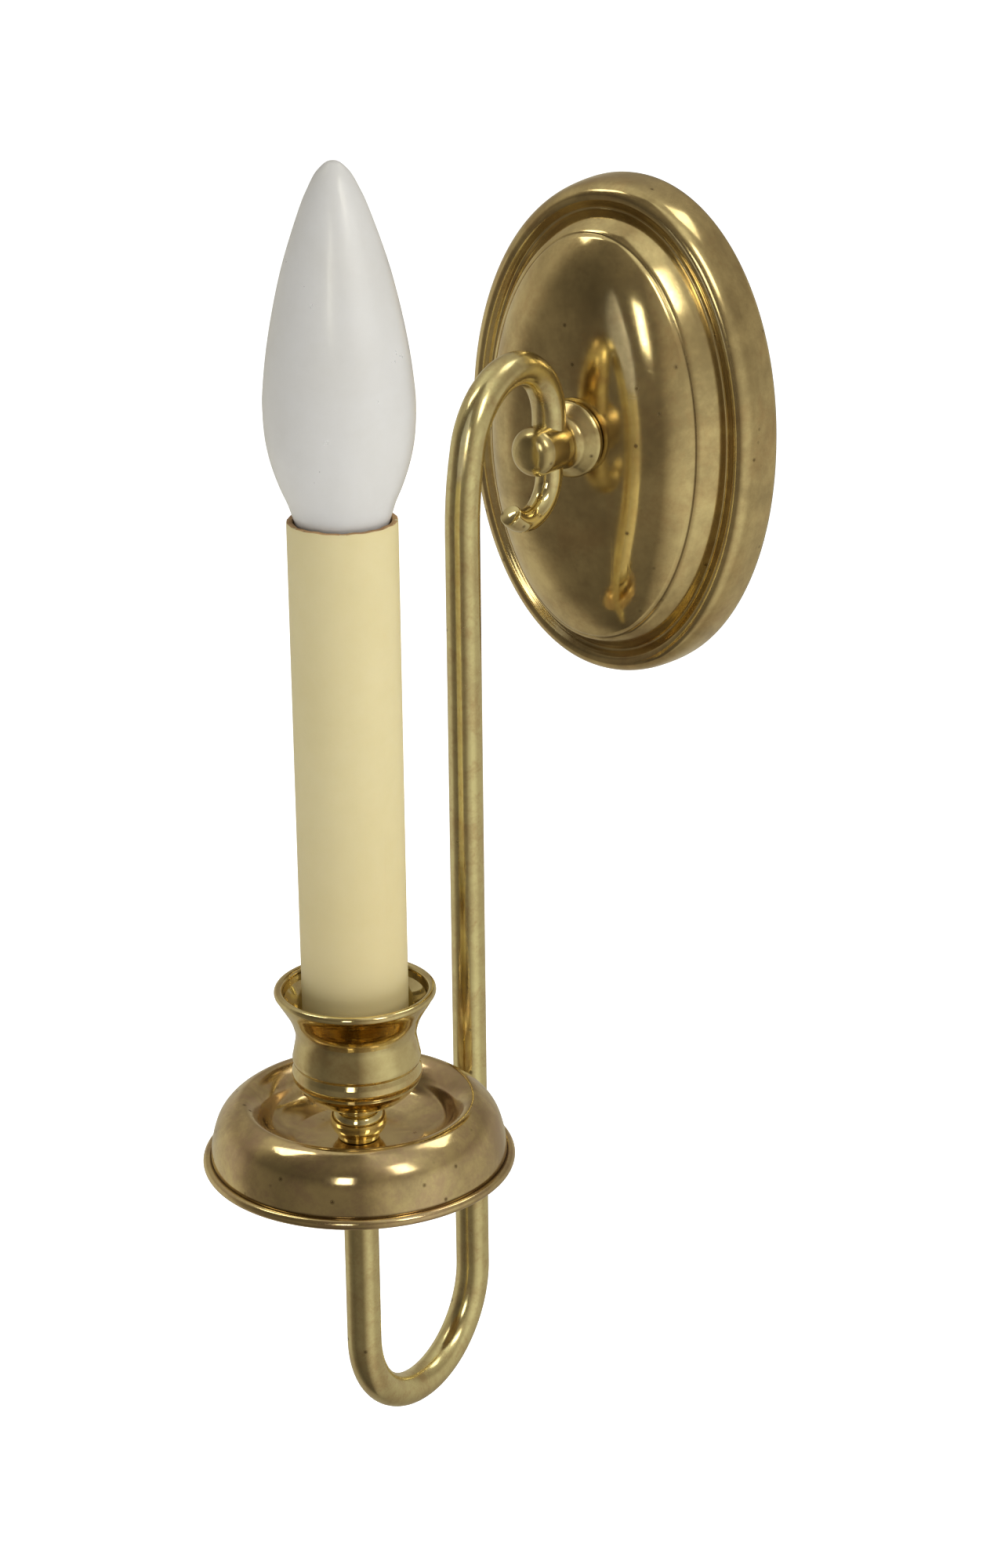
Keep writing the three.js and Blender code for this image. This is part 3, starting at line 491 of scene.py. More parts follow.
def agedBrass(name, look):
    made, tree, surface = newMaterial(name)
    surface.inputs["Metallic"].default_value = 1.0
    place = node(tree, "ShaderNodeTexCoord").outputs["Object"]
    scale = look["cloudScale"]
    cloud = useEffect(tree, "tarnishCloud", Scale=scale, Cover=look["cover"], Softness=look["soft"])
    second = useEffect(tree, "tarnishCloud", Scale=scale * 2.7, Cover=look["redCover"], Softness=0.1)
    specks = useEffect(tree, "darkSpecks", Scale=look["speckScale"], Density=look["specks"], Size=0.3)
    # wear scales both the worn edges and the painted shade in the hollows
    edges = useEffect(tree, "edgeWearAndHollowShade", Amount=look["wear"])
    marks = useEffect(tree, "fineScratches", Scale=look["scratchScale"], Amount=look["scratches"])
    tint = blended(tree, cloud["Mask"], look["clean"], look["tarnish"])
    tint = blended(tree, maths(tree, "MULTIPLY", second["Mask"], look["redShare"]), tint, look["red"])
    # painted shade: the hollows are mixed up to 0.8 of the way toward the dark dirt colour, standing in for
    # shade in creases and recesses
    tint = blended(tree, maths(tree, "MULTIPLY", edges["HollowShade"], 0.8), tint, look["dirt"])
    tint = blended(tree, maths(tree, "MULTIPLY", edges["Raised"], 0.5), tint, look["clean"])
    tint = blended(tree, maths(tree, "MULTIPLY", specks["Mask"], 0.8), tint, look["dirt"])
    tree.links.new(tint, surface.inputs["Base Color"])
    rough = remap(tree, cloud["Mask"], 0.0, 1.0, look["gloss"], look["dull"], smooth=False)
    haze = noiseOf(tree, place, 900.0, 3.0)
    rough = maths(tree, "ADD", rough, maths(tree, "MULTIPLY", haze, 0.08))
    rough = maths(tree, "ADD", rough, maths(tree, "MULTIPLY", marks["Mask"], 0.12))
    rough = maths(tree, "ADD", rough, maths(tree, "MULTIPLY", specks["Mask"], 0.25))
    tree.links.new(rough, surface.inputs["Roughness"])
    ripple = noiseOf(tree, place, look["rippleScale"], 2.0)
    bumped(tree, [(ripple, look["ripple"], 1.0), (marks["Height"], 0.15, 0.05), (haze, 0.06, 0.05)], surface)
    return made


# dirt colours the dark specks, and in agedBrass also the painted shade in the hollows
brassBase = dict(
    clean=(0.80, 0.66, 0.33), tarnish=(0.56, 0.42, 0.19), red=(0.55, 0.33, 0.16), dirt=(0.13, 0.08, 0.035),
    cloudScale=45.0, cover=0.5, soft=0.14, redCover=0.35, redShare=0.35, speckScale=420.0, specks=0.05,
    wear=1.0, scratchScale=350.0, scratches=0.5, gloss=0.14, dull=0.26, rippleScale=60.0, ripple=0.05,
)
plateBrass = agedBrass("plateBrass", {**brassBase, **dict(
    clean=(0.86, 0.71, 0.38), tarnish=(0.52, 0.41, 0.22), cloudScale=30.0, cover=0.5, gloss=0.06, dull=0.15,
    redShare=0.3, ripple=0.03)})
turnedBrass = agedBrass("turnedBrass", {**brassBase, **dict(
    clean=(0.86, 0.75, 0.42), tarnish=(0.66, 0.54, 0.28), cover=0.4, gloss=0.035, dull=0.09, ripple=0.02)})
bossBrass = agedBrass("bossBrass", {**brassBase, **dict(
    clean=(0.80, 0.69, 0.38), tarnish=(0.60, 0.49, 0.25), cover=0.5, gloss=0.12, dull=0.2, ripple=0.02)})
tubeBrass = agedBrass("tubeBrass", {**brassBase, **dict(
    clean=(0.88, 0.79, 0.44), tarnish=(0.72, 0.60, 0.33), cover=0.45, gloss=0.13, dull=0.22,
    cloudScale=85.0)})
panBrass = agedBrass("panBrass", {**brassBase, **dict(
    clean=(0.82, 0.67, 0.36), tarnish=(0.52, 0.40, 0.24), red=(0.56, 0.38, 0.28), redShare=0.5, redCover=0.4,
    cover=0.5, gloss=0.05, dull=0.14, specks=0.1)})
nutBrass = agedBrass("nutBrass", {**brassBase, **dict(gloss=0.22, dull=0.35)})


def plainFinish(name, look):
    made, tree, surface = newMaterial(name)
    surface.inputs["Metallic"].default_value = look.get("metallic", 0.0)
    surface.inputs["Coat Weight"].default_value = look.get("coat", 0.0)
    place = node(tree, "ShaderNodeTexCoord").outputs["Object"]
    cloud = useEffect(tree, "tarnishCloud", Scale=look.get("cloudScale", 60.0), Cover=0.5, Softness=0.2)
    speckScale, density = look.get("speckScale", 600.0), look.get("specks", 0.05)
    specks = useEffect(tree, "darkSpecks", Scale=speckScale, Density=density, Size=0.3)
    marks = useEffect(tree, "fineScratches", Scale=400.0, Amount=look.get("scratches", 0.5))
    edges = useEffect(tree, "edgeWearAndHollowShade", Amount=look.get("wear", 0.6))
    tint = blended(tree, cloud["Mask"], look["light"], look["dark"])
    tint = blended(tree, maths(tree, "MULTIPLY", edges["Raised"], 0.5), tint, look["worn"])
    tint = blended(tree, maths(tree, "MULTIPLY", specks["Mask"], 0.6), tint, look["dirt"])
    tree.links.new(tint, surface.inputs["Base Color"])
    rough = remap(tree, cloud["Mask"], 0.0, 1.0, look["gloss"], look["dull"], smooth=False)
    rough = maths(tree, "ADD", rough, maths(tree, "MULTIPLY", marks["Mask"], 0.1))
    tree.links.new(rough, surface.inputs["Roughness"])
    grain = noiseOf(tree, place, look.get("grainScale", 1500.0), 3.0)
    bumped(tree, [(grain, look.get("grain", 0.1), 0.05), (marks["Height"], 0.15, 0.04)], surface)
    return made


steel = plainFinish("zincSteel", dict(
    metallic=1.0, light=(0.62, 0.62, 0.60), dark=(0.46, 0.46, 0.44), worn=(0.75, 0.75, 0.73),
    dirt=(0.2, 0.16, 0.12), gloss=0.28, dull=0.45, cloudScale=160.0))
nickel = plainFinish("nickelPlate", dict(
    metallic=1.0, light=(0.70, 0.68, 0.64), dark=(0.55, 0.53, 0.49), worn=(0.75, 0.66, 0.45),
    dirt=(0.2, 0.17, 0.13), gloss=0.18, dull=0.32))
filamentWire = plainFinish("filamentWire", dict(
    metallic=1.0, light=(0.3, 0.29, 0.28), dark=(0.2, 0.2, 0.2), worn=(0.4, 0.4, 0.4), dirt=(0.1, 0.1, 0.1),
    gloss=0.35, dull=0.5))
phenolic = plainFinish("brownPhenolic", dict(
    light=(0.035, 0.026, 0.022), dark=(0.02, 0.016, 0.014), worn=(0.09, 0.07, 0.06), dirt=(0.1, 0.09, 0.07),
    gloss=0.3, dull=0.5))
blackGlass = plainFinish("baseGlass", dict(
    light=(0.012, 0.010, 0.016), dark=(0.02, 0.018, 0.02), worn=(0.05, 0.05, 0.05), dirt=(0.08, 0.07, 0.06),
    gloss=0.08, dull=0.16, coat=0.4))
blackCover = plainFinish("blackCover", dict(
    light=(0.02, 0.02, 0.022), dark=(0.03, 0.03, 0.03), worn=(0.08, 0.08, 0.08), dirt=(0.14, 0.13, 0.11),
    gloss=0.38, dull=0.5, grain=0.05))
whiteCover = plainFinish("whiteCover", dict(
    light=(0.78, 0.77, 0.72), dark=(0.66, 0.64, 0.58), worn=(0.85, 0.84, 0.8), dirt=(0.35, 0.3, 0.24),
    gloss=0.38, dull=0.5, grain=0.05))
orangeNylon = plainFinish("orangeNylon", dict(
    light=(0.62, 0.20, 0.045), dark=(0.52, 0.15, 0.03), worn=(0.75, 0.35, 0.16), dirt=(0.2, 0.12, 0.06),
    gloss=0.32, dull=0.44, coat=0.1))
greenSteel = plainFinish("greenSteel", dict(
    metallic=0.6, light=(0.05, 0.30, 0.09), dark=(0.03, 0.20, 0.06), worn=(0.5, 0.52, 0.48),
    dirt=(0.1, 0.1, 0.07), gloss=0.28, dull=0.4))
fibreCore = plainFinish("fibreCore", dict(
    light=(0.40, 0.24, 0.10), dark=(0.24, 0.13, 0.055), worn=(0.5, 0.33, 0.16), dirt=(0.1, 0.06, 0.03),
    gloss=0.7, dull=0.85, grain=0.5, grainScale=900.0, specks=0.2))


def ivoryMaterial():
    made, tree, surface = newMaterial("ivoryFibre")
    place = node(tree, "ShaderNodeTexCoord").outputs["Object"]
    cloud = useEffect(tree, "tarnishCloud", Scale=30.0, Cover=0.5, Softness=0.3)
    specks = useEffect(tree, "darkSpecks", Scale=170.0, Density=0.03, Size=0.08)
    marks = useEffect(tree, "fineScratches", Scale=260.0, Amount=0.35)
    tint = blended(tree, cloud["Mask"], (0.53, 0.458, 0.248), (0.49, 0.415, 0.205))
    split = node(tree, "ShaderNodeSeparateXYZ")
    tree.links.new(place, split.inputs["Vector"])
    foot = remap(tree, split.outputs["Z"], -0.045, -0.115)
    tint = blended(tree, maths(tree, "MULTIPLY", foot, 0.5), tint, (0.47, 0.37, 0.16))
    tint = blended(tree, maths(tree, "MULTIPLY", specks["Mask"], 0.7), tint, (0.28, 0.16, 0.07))
    tint = blended(tree, maths(tree, "MULTIPLY", marks["Mask"], 0.25), tint, (0.5, 0.36, 0.18))
    tree.links.new(tint, surface.inputs["Base Color"])
    tree.links.new(remap(tree, cloud["Mask"], 0.0, 1.0, 0.38, 0.5, smooth=False), surface.inputs["Roughness"])
    surface.inputs["Subsurface Weight"].default_value = 0.15
    surface.inputs["Subsurface Radius"].default_value = (1.0, 0.7, 0.35)
    surface.inputs["Subsurface Scale"].default_value = 0.001
    grain = noiseOf(tree, place, 1300.0, 4.0)
    wave = noiseOf(tree, place, 90.0, 2.0)
    bumped(tree, [(wave, 0.12, 0.6), (grain, 0.12, 0.05), (marks["Height"], 0.2, 0.06)], surface)
    return made


def frostedMaterial():
    made, tree, surface = newMaterial("frostedGlass")
    place = node(tree, "ShaderNodeTexCoord").outputs["Object"]
    cloud = useEffect(tree, "tarnishCloud", Scale=55.0, Cover=0.5, Softness=0.3)
    specks = useEffect(tree, "darkSpecks", Scale=210.0, Density=0.025, Size=0.1)
    marks = useEffect(tree, "fineScratches", Scale=300.0, Amount=0.4)
    tint = blended(tree, cloud["Mask"], (0.75, 0.74, 0.71), (0.70, 0.685, 0.64))
    tint = blended(tree, maths(tree, "MULTIPLY", specks["Mask"], 0.8), tint, (0.16, 0.10, 0.05))
    tree.links.new(tint, surface.inputs["Base Color"])
    rough = remap(tree, cloud["Mask"], 0.0, 1.0, 0.26, 0.34, smooth=False)
    tree.links.new(rough, surface.inputs["Roughness"])
    surface.inputs["Transmission Weight"].default_value = 0.45
    surface.inputs["IOR"].default_value = 1.45
    surface.inputs["Coat Weight"].default_value = 0.25
    surface.inputs["Coat Roughness"].default_value = 0.12
    grain = noiseOf(tree, place, 2200.0, 3.0)
    bumped(tree, [(grain, 0.08, 0.04), (marks["Height"], 0.1, 0.03)], surface)
    return made


def clearMaterial():
    made, tree, surface = newMaterial("clearGlass")
    place = node(tree, "ShaderNodeTexCoord").outputs["Object"]
    haze = noiseOf(tree, place, 200.0, 3.0)
    tree.links.new(blended(tree, haze, (0.93, 0.95, 0.94), (0.86, 0.88, 0.87)), surface.inputs["Base Color"])
    tree.links.new(remap(tree, haze, 0.3, 0.7, 0.02, 0.08), surface.inputs["Roughness"])
    surface.inputs["Transmission Weight"].default_value = 0.95
    bumped(tree, [(haze, 0.05, 0.1)], surface)
    return made


ivory, frosted, clear = ivoryMaterial(), frostedMaterial(), clearMaterial()
print("materials built:", len(bpy.data.materials))
seatGap = 0.3  # left between pieces that touch on the real object
plate = dict(
    fullness=2.07, sheet=1.2, crest=12.2, panelInset=11.6, panelDepth=17.9, dome=7.8, domePower=4.2,
    sides=240, frontRows=60, backRows=24,
)


def ovalLoop(inset, depth):
    a, b = plateHigh.x, plateHigh.z
    bend = 2 / plate["fullness"]
    loop = []
    for k in range(plate["sides"]):
        turn = 2 * math.pi * k / plate["sides"]
        c, s = math.cos(turn), math.sin(turn)
        across = b * math.copysign(abs(c) ** (2 - bend), c)
        along = a * math.copysign(abs(s) ** (2 - bend), s)
        normal = Vector((across, along)).normalized()
        x = a * math.copysign(abs(c) ** bend, c) - normal.x * inset
        z = b * math.copysign(abs(s) ** bend, s) - normal.y * inset
        loop.append((x, -depth, z))
    return loop


def domeRows(behind, rows):
    # from the panel's edge in to the nipple's hole, this far behind the front face
    edge = ovalLoop(plate["panelInset"] + behind / 2, plate["panelDepth"])
    hole = nodeBox("boss_nipple")[1].x + seatGap
    loops = []
    for i in range(rows + 1):
        share = 1 - i / rows
        depth = plate["panelDepth"] + plate["dome"] * (1 - share ** plate["domePower"]) - behind
        loop = []
        for k, (x, _, z) in enumerate(edge):
            turn = 2 * math.pi * k / plate["sides"]
            hx, hz = hole * math.cos(turn), bossZ + hole * math.sin(turn)
            loop.append((x * share + hx * (1 - share), -depth, z * share + hz * (1 - share)))
        loops.append(loop)
    return loops


def buildPlate():
    # (inset from the outline, depth from the wall) of border, groove, bead and panel edge
    crest, sheet = plate["crest"], plate["sheet"]
    border = flowing([
        (0.02, 1.2), (0.12, crest * 0.29), (0.45, crest * 0.57), (1.1, crest * 0.79), (2.1, crest * 0.93),
        (3.3, crest), (4.5, crest), (5.6, crest - 0.7), (6.45, 10.95), (7.1, 11.25), (8.5, 13.75),
        (10.2, 16.4), (11.0, 17.25),
    ], 110)
    back = flowing([
        (1.25, 0.0), (1.35, crest * 0.29), (1.65, crest * 0.55), (2.2, crest * 0.74), (2.9, crest * 0.86),
        (3.8, crest - 1.2), (4.6, crest - 1.3), (6.3, 9.55), (7.7, 10.0), (9.4, 12.9), (11.2, 15.6),
        (11.9, 16.6),
    ], 60)
    front = [(0.2, 0.0), (0.05, 0.2)] + border + [(11.3, 17.3), (11.45, 17.45)]
    loops = [ovalLoop(inset, depth) for inset, depth in front] + domeRows(0, plate["frontRows"])
    loops += domeRows(sheet, plate["backRows"])[::-1]
    loops += [ovalLoop(inset, depth) for inset, depth in reversed(back)]
    sides = plate["sides"]
    points = [p for loop in loops for p in loop]
    faces = []
    for i in range(len(loops)):
        n = (i + 1) % len(loops)
        for k in range(sides):
            m = (k + 1) % sides
            faces.append((i * sides + k, i * sides + m, n * sides + m, n * sides + k))
    points, faces = facingOut(points, faces)
    makePiece("plateShell", points, faces, "backplate", plateBrass, sharp=50)


buildPlate()
boss = dict(
    noseLength=10.1, noseRound=3.7, noseShoulder=4.5, neckLess=3.5, barrelLess=3.25, counterbore=4.6,
    tubeGap=0.04, tubeSeat=2.9, tailBore=3.2, tailSeat=4.3, cutReach=14, brokenEdge=0.35, sides=144,
)


def buildBoss():
    back, front = -bossHigh.y, -bossLow.y
    axis = front - boss["noseLength"]
    foot = bossHigh.x
    hole = nodeBox("boss_nipple")[1].x + seatGap
    neck, barrel = foot - boss["neckLess"], foot - boss["barrelLess"]
    nose = arc(barrel - boss["noseRound"], front - boss["noseShoulder"], boss["noseRound"], 0, 78, 22)
    cove = flowing([
        (foot - 0.35, back + 2.2), (neck + 1.5, back + 3.9), (neck + 0.6, back + 4.9), (neck, back + 6.6),
        (neck + 0.1, back + 8.0), (barrel, axis),
    ], 26)
    inside = [(0, back + boss["counterbore"]), (hole, back + boss["counterbore"]), (hole, back)]
    rim = [(foot - 0.5, back), (foot, back + 0.7), (foot, back + 1.7)]
    outline = inside + rim + cove + nose + [(0, front)]
    points, faces = turnedMesh(eased(outline, boss["brokenEdge"]), (0, 0, bossZ), outward, boss["sides"])

    def upBore(radius, low, high, sides):
        bore = [(0, low), (radius, low), (radius, high), (0, high)]
        return cutter(*turnedMesh(bore, (0, -axis, bossZ), upright, sides))

    bores = [
        upBore(tubeRadius + boss["tubeGap"], -boss["tubeSeat"], boss["cutReach"], 64),
        upBore(boss["tailBore"], -boss["cutReach"], -boss["tailSeat"], 48),
    ]
    carvedPiece("bossTurning", points, faces, bores, "arm_boss", bossBrass)
    return axis


bossAxis = buildBoss()
pan = dict(sheet=1.0, rise=9.5, drop=4.3, bead=1.12, sides=180)
panEdgeZ = panLow.z + pan["bead"]
arm = dict(
    crown=14.0, top=22.8, ease=72.0, easeTurn=15.0, panClear=4.96, bendBelow=46.9, wall=1.0, intoBoss=2.7,
    pastNut=1.8, sides=56,
)


def spaced(points, gap):
    kept = []
    for p in points:
        if not kept or (Vector(p) - Vector(kept[-1])).length > gap:
            kept.append(p)
    return kept


def armLine(x, start, stepsPerTurn=120):
    # up out of the boss, over the crown, down the long run and round the U
    dropY = abs(candleY) - panHigh.x - arm["panClear"] - tubeRadius
    bend = (abs(candleY) - dropY) / 2
    bendZ = panEdgeZ - arm["bendBelow"]
    turn = math.radians(arm["easeTurn"])
    across = dropY - bossAxis - arm["crown"] - arm["ease"] * (1 - math.cos(turn))
    shoulder = across / math.cos(turn)
    easeZ = arm["top"] - shoulder * (1 - math.sin(turn)) - arm["ease"] * math.sin(turn)
    crownY, crownZ = -(bossAxis + arm["crown"]), arm["top"] - arm["crown"]

    def leg(y, z, radius, a, b):
        steps = max(4, int(abs(b - a) / 360 * stepsPerTurn))
        return [(x, p, q) for p, q in arc(y, z, radius, a, b, steps)]

    line = [(x, -bossAxis, z) for z in np.linspace(start, crownZ, 6)]
    line += leg(crownY, crownZ, arm["crown"], 0, 90)
    line += leg(crownY, arm["top"] - shoulder, shoulder, 90, 180 - arm["easeTurn"])
    line += leg(arm["ease"] - dropY, easeZ, arm["ease"], 180 - arm["easeTurn"], 180)
    line += [(x, -dropY, z) for z in np.linspace(easeZ, bendZ, 24)]
    line += leg(-(dropY + bend), bendZ, bend, 0, -180)
    return spaced(line, 0.05), bendZ


def buildArm():
    line, bendZ = armLine(0, bossZ - arm["intoBoss"])
    top = nodeBox("cup_nut")[1].z + arm["pastNut"]
    line += [(0, candleY, z) for z in np.linspace(bendZ, top, 20)[1:]]
    inside = tubeRadius - arm["wall"]
    swept("armTube", line, tubeRadius, "arm", tubeBrass, sides=arm["sides"], inside=inside)


buildArm()
tail = dict(
    bend=9.3, turn=135.0, root=3.15, tip=2.5, intoBoss=1.1, endBack=0.45,
    endRound=[(0.12, 0.08), (0.22, 0.22)],
)


def buildTail():
    seat = bossZ - (bossHigh.x - boss["barrelLess"])
    line = [(0, -bossAxis, seat + tail["intoBoss"])]
    curl = arc(-(bossAxis + tail["bend"]), seat, tail["bend"], 0, -tail["turn"], 60)
    line += [(0, y, z) for y, z in curl]
    last = len(line) - 1
    radii = [tail["root"] + (tail["tip"] - tail["root"]) * i / last for i in range(last + 1)]
    step = Vector(line[-1]) - Vector(line[-2])
    end = Vector(line[-1]) - step * tail["endBack"]
    line[-1] = tuple(end)
    for onward, less in tail["endRound"]:
        line.append(tuple(end + step.normalized() * onward))
        radii.append(tail["tip"] - less)
    swept("tailCurl", line, radii, "arm_tail", turnedBrass, sides=48, sharp=40)


buildTail()
print("backplate and arm built")
onCandle = (0, candleY, 0)


def buildPan():
    radius = panHigh.x
    floor = panEdgeZ + pan["drop"]
    crest = floor + pan["rise"]
    bore = tubeRadius + seatGap
    dome = flowing([
        (radius - 20.5, floor + 0.5), (radius - 15.3, floor + 3), (radius - 13, floor + 7),
        (radius - 9.5, crest), (radius - 6.3, crest - 1.4), (radius - 3.7, crest - 4.4),
        (radius - 2.3, crest - 8.6), (radius - 1.8, panEdgeZ + 1.5),
    ], 84)
    top = [(bore, floor), (bore + 6, floor), (radius - 22.5, floor + 0.1)] + dome
    roll = arc(radius - pan["bead"], panEdgeZ, pan["bead"], 125, -190, 40)
    under = []
    for i, p in enumerate(top[:-3]):
        a, b = Vector(top[max(i - 1, 0)]), Vector(top[i + 1])
        along = (b - a).normalized()
        under.append((p[0] + along.y * pan["sheet"], p[1] - along.x * pan["sheet"]))
    under[0] = (bore, floor - pan["sheet"])
    outline = top[:-1] + roll + under[::-1]
    turned("panSpinning", outline, onCandle, "drip_pan", panBrass, sides=pan["sides"], sharp=40)


buildPan()
knop = dict(neckLess=1.3, rollLess=2.45, lift=0.1, rollTurn=50, brokenEdge=0.25)


def buildKnop():
    low, high = nodeBox("stem_knop")
    radius, bore = high.x, tubeRadius + seatGap
    neck, roll = radius - knop["neckLess"], radius - knop["rollLess"]
    middle = (low.z + high.z) / 2 + knop["lift"]
    outline = [(bore, low.z), (neck - 0.5, low.z), (neck - 0.3, low.z + 0.5)]
    outline += arc(radius - roll, middle, roll, -knop["rollTurn"], knop["rollTurn"], 28)
    outline += [(neck, high.z), (bore, high.z)]
    outline = eased(outline, knop["brokenEdge"], closed=True)
    turned("knopTurning", outline, onCandle, "stem_knop", turnedBrass, sides=120)


buildKnop()
cup = dict(
    lipRound=0.95, waistLess=4.45, bellyMore=0.85, wall=1.27, band=3.35, bandTurn=22, brokenEdge=0.3,
    sides=160,
)


def buildCup():
    bottom, lip = cupLow.z, cupHigh.z - cup["lipRound"]
    rim = cupHigh.x
    waist = rim - cup["waistLess"]
    belly = waist + cup["bellyMore"]
    bore, wall = tubeRadius + seatGap, waist - cup["wall"]
    base = flowing([
        (6.0, bottom), (7.9, bottom + 0.5), (belly - 3.3, bottom + 2.2), (belly - 1.3, bottom + 4.2),
        (belly - 0.4, bottom + 5.6),
    ], 26)
    foot = [(bore, bottom)] + base + [(belly - 0.75, lip - 20.95), (belly + 0.05, lip - 20.4)]
    band = arc(belly - 3.15, lip - 19.15, cup["band"], -cup["bandTurn"], cup["bandTurn"], 12)
    groove = [(belly - 0.55, lip - 16.95), (belly - 0.1, lip - 16.3)]
    flare = flowing([
        (belly, lip - 15.3), (belly - 0.3, lip - 13.9), (waist, lip - 10.5), (waist + 0.35, lip - 8.2),
        (waist + 1.15, lip - 5.9), (rim - 2.1, lip - 3.7), (rim - 1.0, lip - 1.9), (rim - 0.3, lip - 0.6),
    ], 56)
    mouth = arc(rim - cup["lipRound"], lip, cup["lipRound"], -30, 195, 20)
    seatZ = sleeveLow.z - seatGap
    inside = flowing([(rim - 2.2, lip - 1.6), (rim - 4.2, lip - 4.4), (wall + 0.1, lip - 8), (wall, seatZ)], 24)
    well = nodeBox("socket_bracket")[0].z - seatGap
    seat = [(sleeveRadius - 1.5, seatZ), (sleeveRadius - 1.5, well), (bore, well)]
    outline = eased(foot + band + groove + flare + mouth + inside + seat, cup["brokenEdge"], closed=True)
    turned("cupTurning", outline, onCandle, "candle_cup", turnedBrass, sides=cup["sides"], sharp=38)


buildCup()
collar = dict(chamfer=0.9, brokenEdge=0.3)


def buildCollar():
    low, high = nodeBox("arm_seat_collar")
    bore, outer, cut = tubeRadius + seatGap, high.x, collar["chamfer"]
    outline = [(bore, low.z), (outer - cut, low.z), (outer, low.z + cut), (outer, high.z), (bore, high.z)]
    outline = eased(outline, collar["brokenEdge"], closed=True)
    turned("seatCollar", outline, onCandle, "arm_seat_collar", turnedBrass, sides=96)


buildCollar()
print("candle stand built")
sleeve = dict(wall=1.38, raggedZone=1.0, nick=0.16, tear=0.07, lumps=7, oval=0.03, coreFrom=0.28, coreWall=0.6)


def buildSleeve():
    inner = sleeveRadius - sleeve["wall"]
    low, high = sleeveLow.z, sleeveHigh.z
    lumps = [rng.uniform(0, 1, sleeve["lumps"]), rng.uniform(0, 2 * math.pi, sleeve["lumps"])]

    def ragged(turn):
        wave = sum(a * math.sin((k * 3 + 2) * turn + p) for k, (a, p) in enumerate(zip(*lumps)))
        return -sleeve["nick"] - sleeve["tear"] * wave

    def shape(r, turn, h):
        if h > high - sleeve["raggedZone"]:
            h += ragged(turn) * (h - high + sleeve["raggedZone"])
        return r + sleeve["oval"] * math.sin(2 * turn + 0.6), h

    def isCore(centre, normal):
        across = math.hypot(centre.x, centre.y - candleY)
        return centre.z > high - sleeve["coreFrom"] or across < sleeveRadius - sleeve["coreWall"]

    outline = [(inner, low), (sleeveRadius - 0.1, low)]
    outline += [(sleeveRadius - 0.03, z) for z in np.linspace(low + 0.3, high - 1.1, 40)]
    outline += [(sleeveRadius - 0.05, high - 0.5), (sleeveRadius - 0.12, high - 0.12)]
    outline += [(sleeveRadius - 0.3, high), (sleeveRadius - 0.8, high - 0.05)]
    outline += [(inner + 0.2, high - 0.02), (inner, high - 0.3)]
    turned("sleeveTube", outline, onCandle, "candle_sleeve", ivory, sides=160, shape=shape, sharp=40,
           inner=fibreCore, innerFrom=isCore)


buildSleeve()
bulb = dict(
    neck=5.25, wall=0.8, tipFlat=0.9, sides=144,
    outline=[
        (10.15, 4.2), (11.3, 7.7), (12.7, 11), (13.9, 14.4), (14.8, 17.7), (15.4, 21), (15.7, 24.3),
        (15.8, 27.6), (15.7, 30.9), (15.0, 37.4), (13.95, 43.9), (12.6, 50.4), (11.0, 56.8), (9.0, 63.1),
        (6.7, 69.5), (5.3, 72.6), (3.7, 75.6), (1.9, 77.5),
    ],
    leadWire=[(0.7, 0.3), (0.9, 3), (4.6, 9), (6.2, 15)], leadRadius=0.3,  # above the stem's top
    coilTurns=30, coilHalf=5.4, coilRise=14.6, coilBow=1.6, coilRadius=0.42, wireRadius=0.09,
)


def buildEnvelope():
    low, high = nodeBox("bulb_glass")
    neck, wall = bulb["neck"], bulb["wall"]
    baseTop = nodeBox("bulb_screw_base")[1].z
    skirt = [(neck, low.z), (neck, baseTop + 0.3), (neck + 1.1, baseTop + 1.5), (9.3, 2.2)]
    tip = [(bulb["tipFlat"], high.z - 0.12)]
    outside = [skirt[0]] + flowing(skirt[1:] + bulb["outline"] + tip, 120)
    inside = []
    for i, p in enumerate(outside):
        a, b = Vector(outside[max(i - 1, 0)]), Vector(outside[min(i + 1, len(outside) - 1)])
        along = (b - a).normalized()
        inside.append((max(p[0] - along.y * wall, 0.02), p[1] + along.x * wall))
    inside[0] = (neck - wall, low.z)
    inside = [p for p in inside if p[0] > 0.3]
    outline = [(0, high.z - 1.0)] + inside[::-1] + outside + [(0, high.z)]
    turned("bulbEnvelope", outline, onCandle, "bulb_glass", frosted, sides=bulb["sides"])


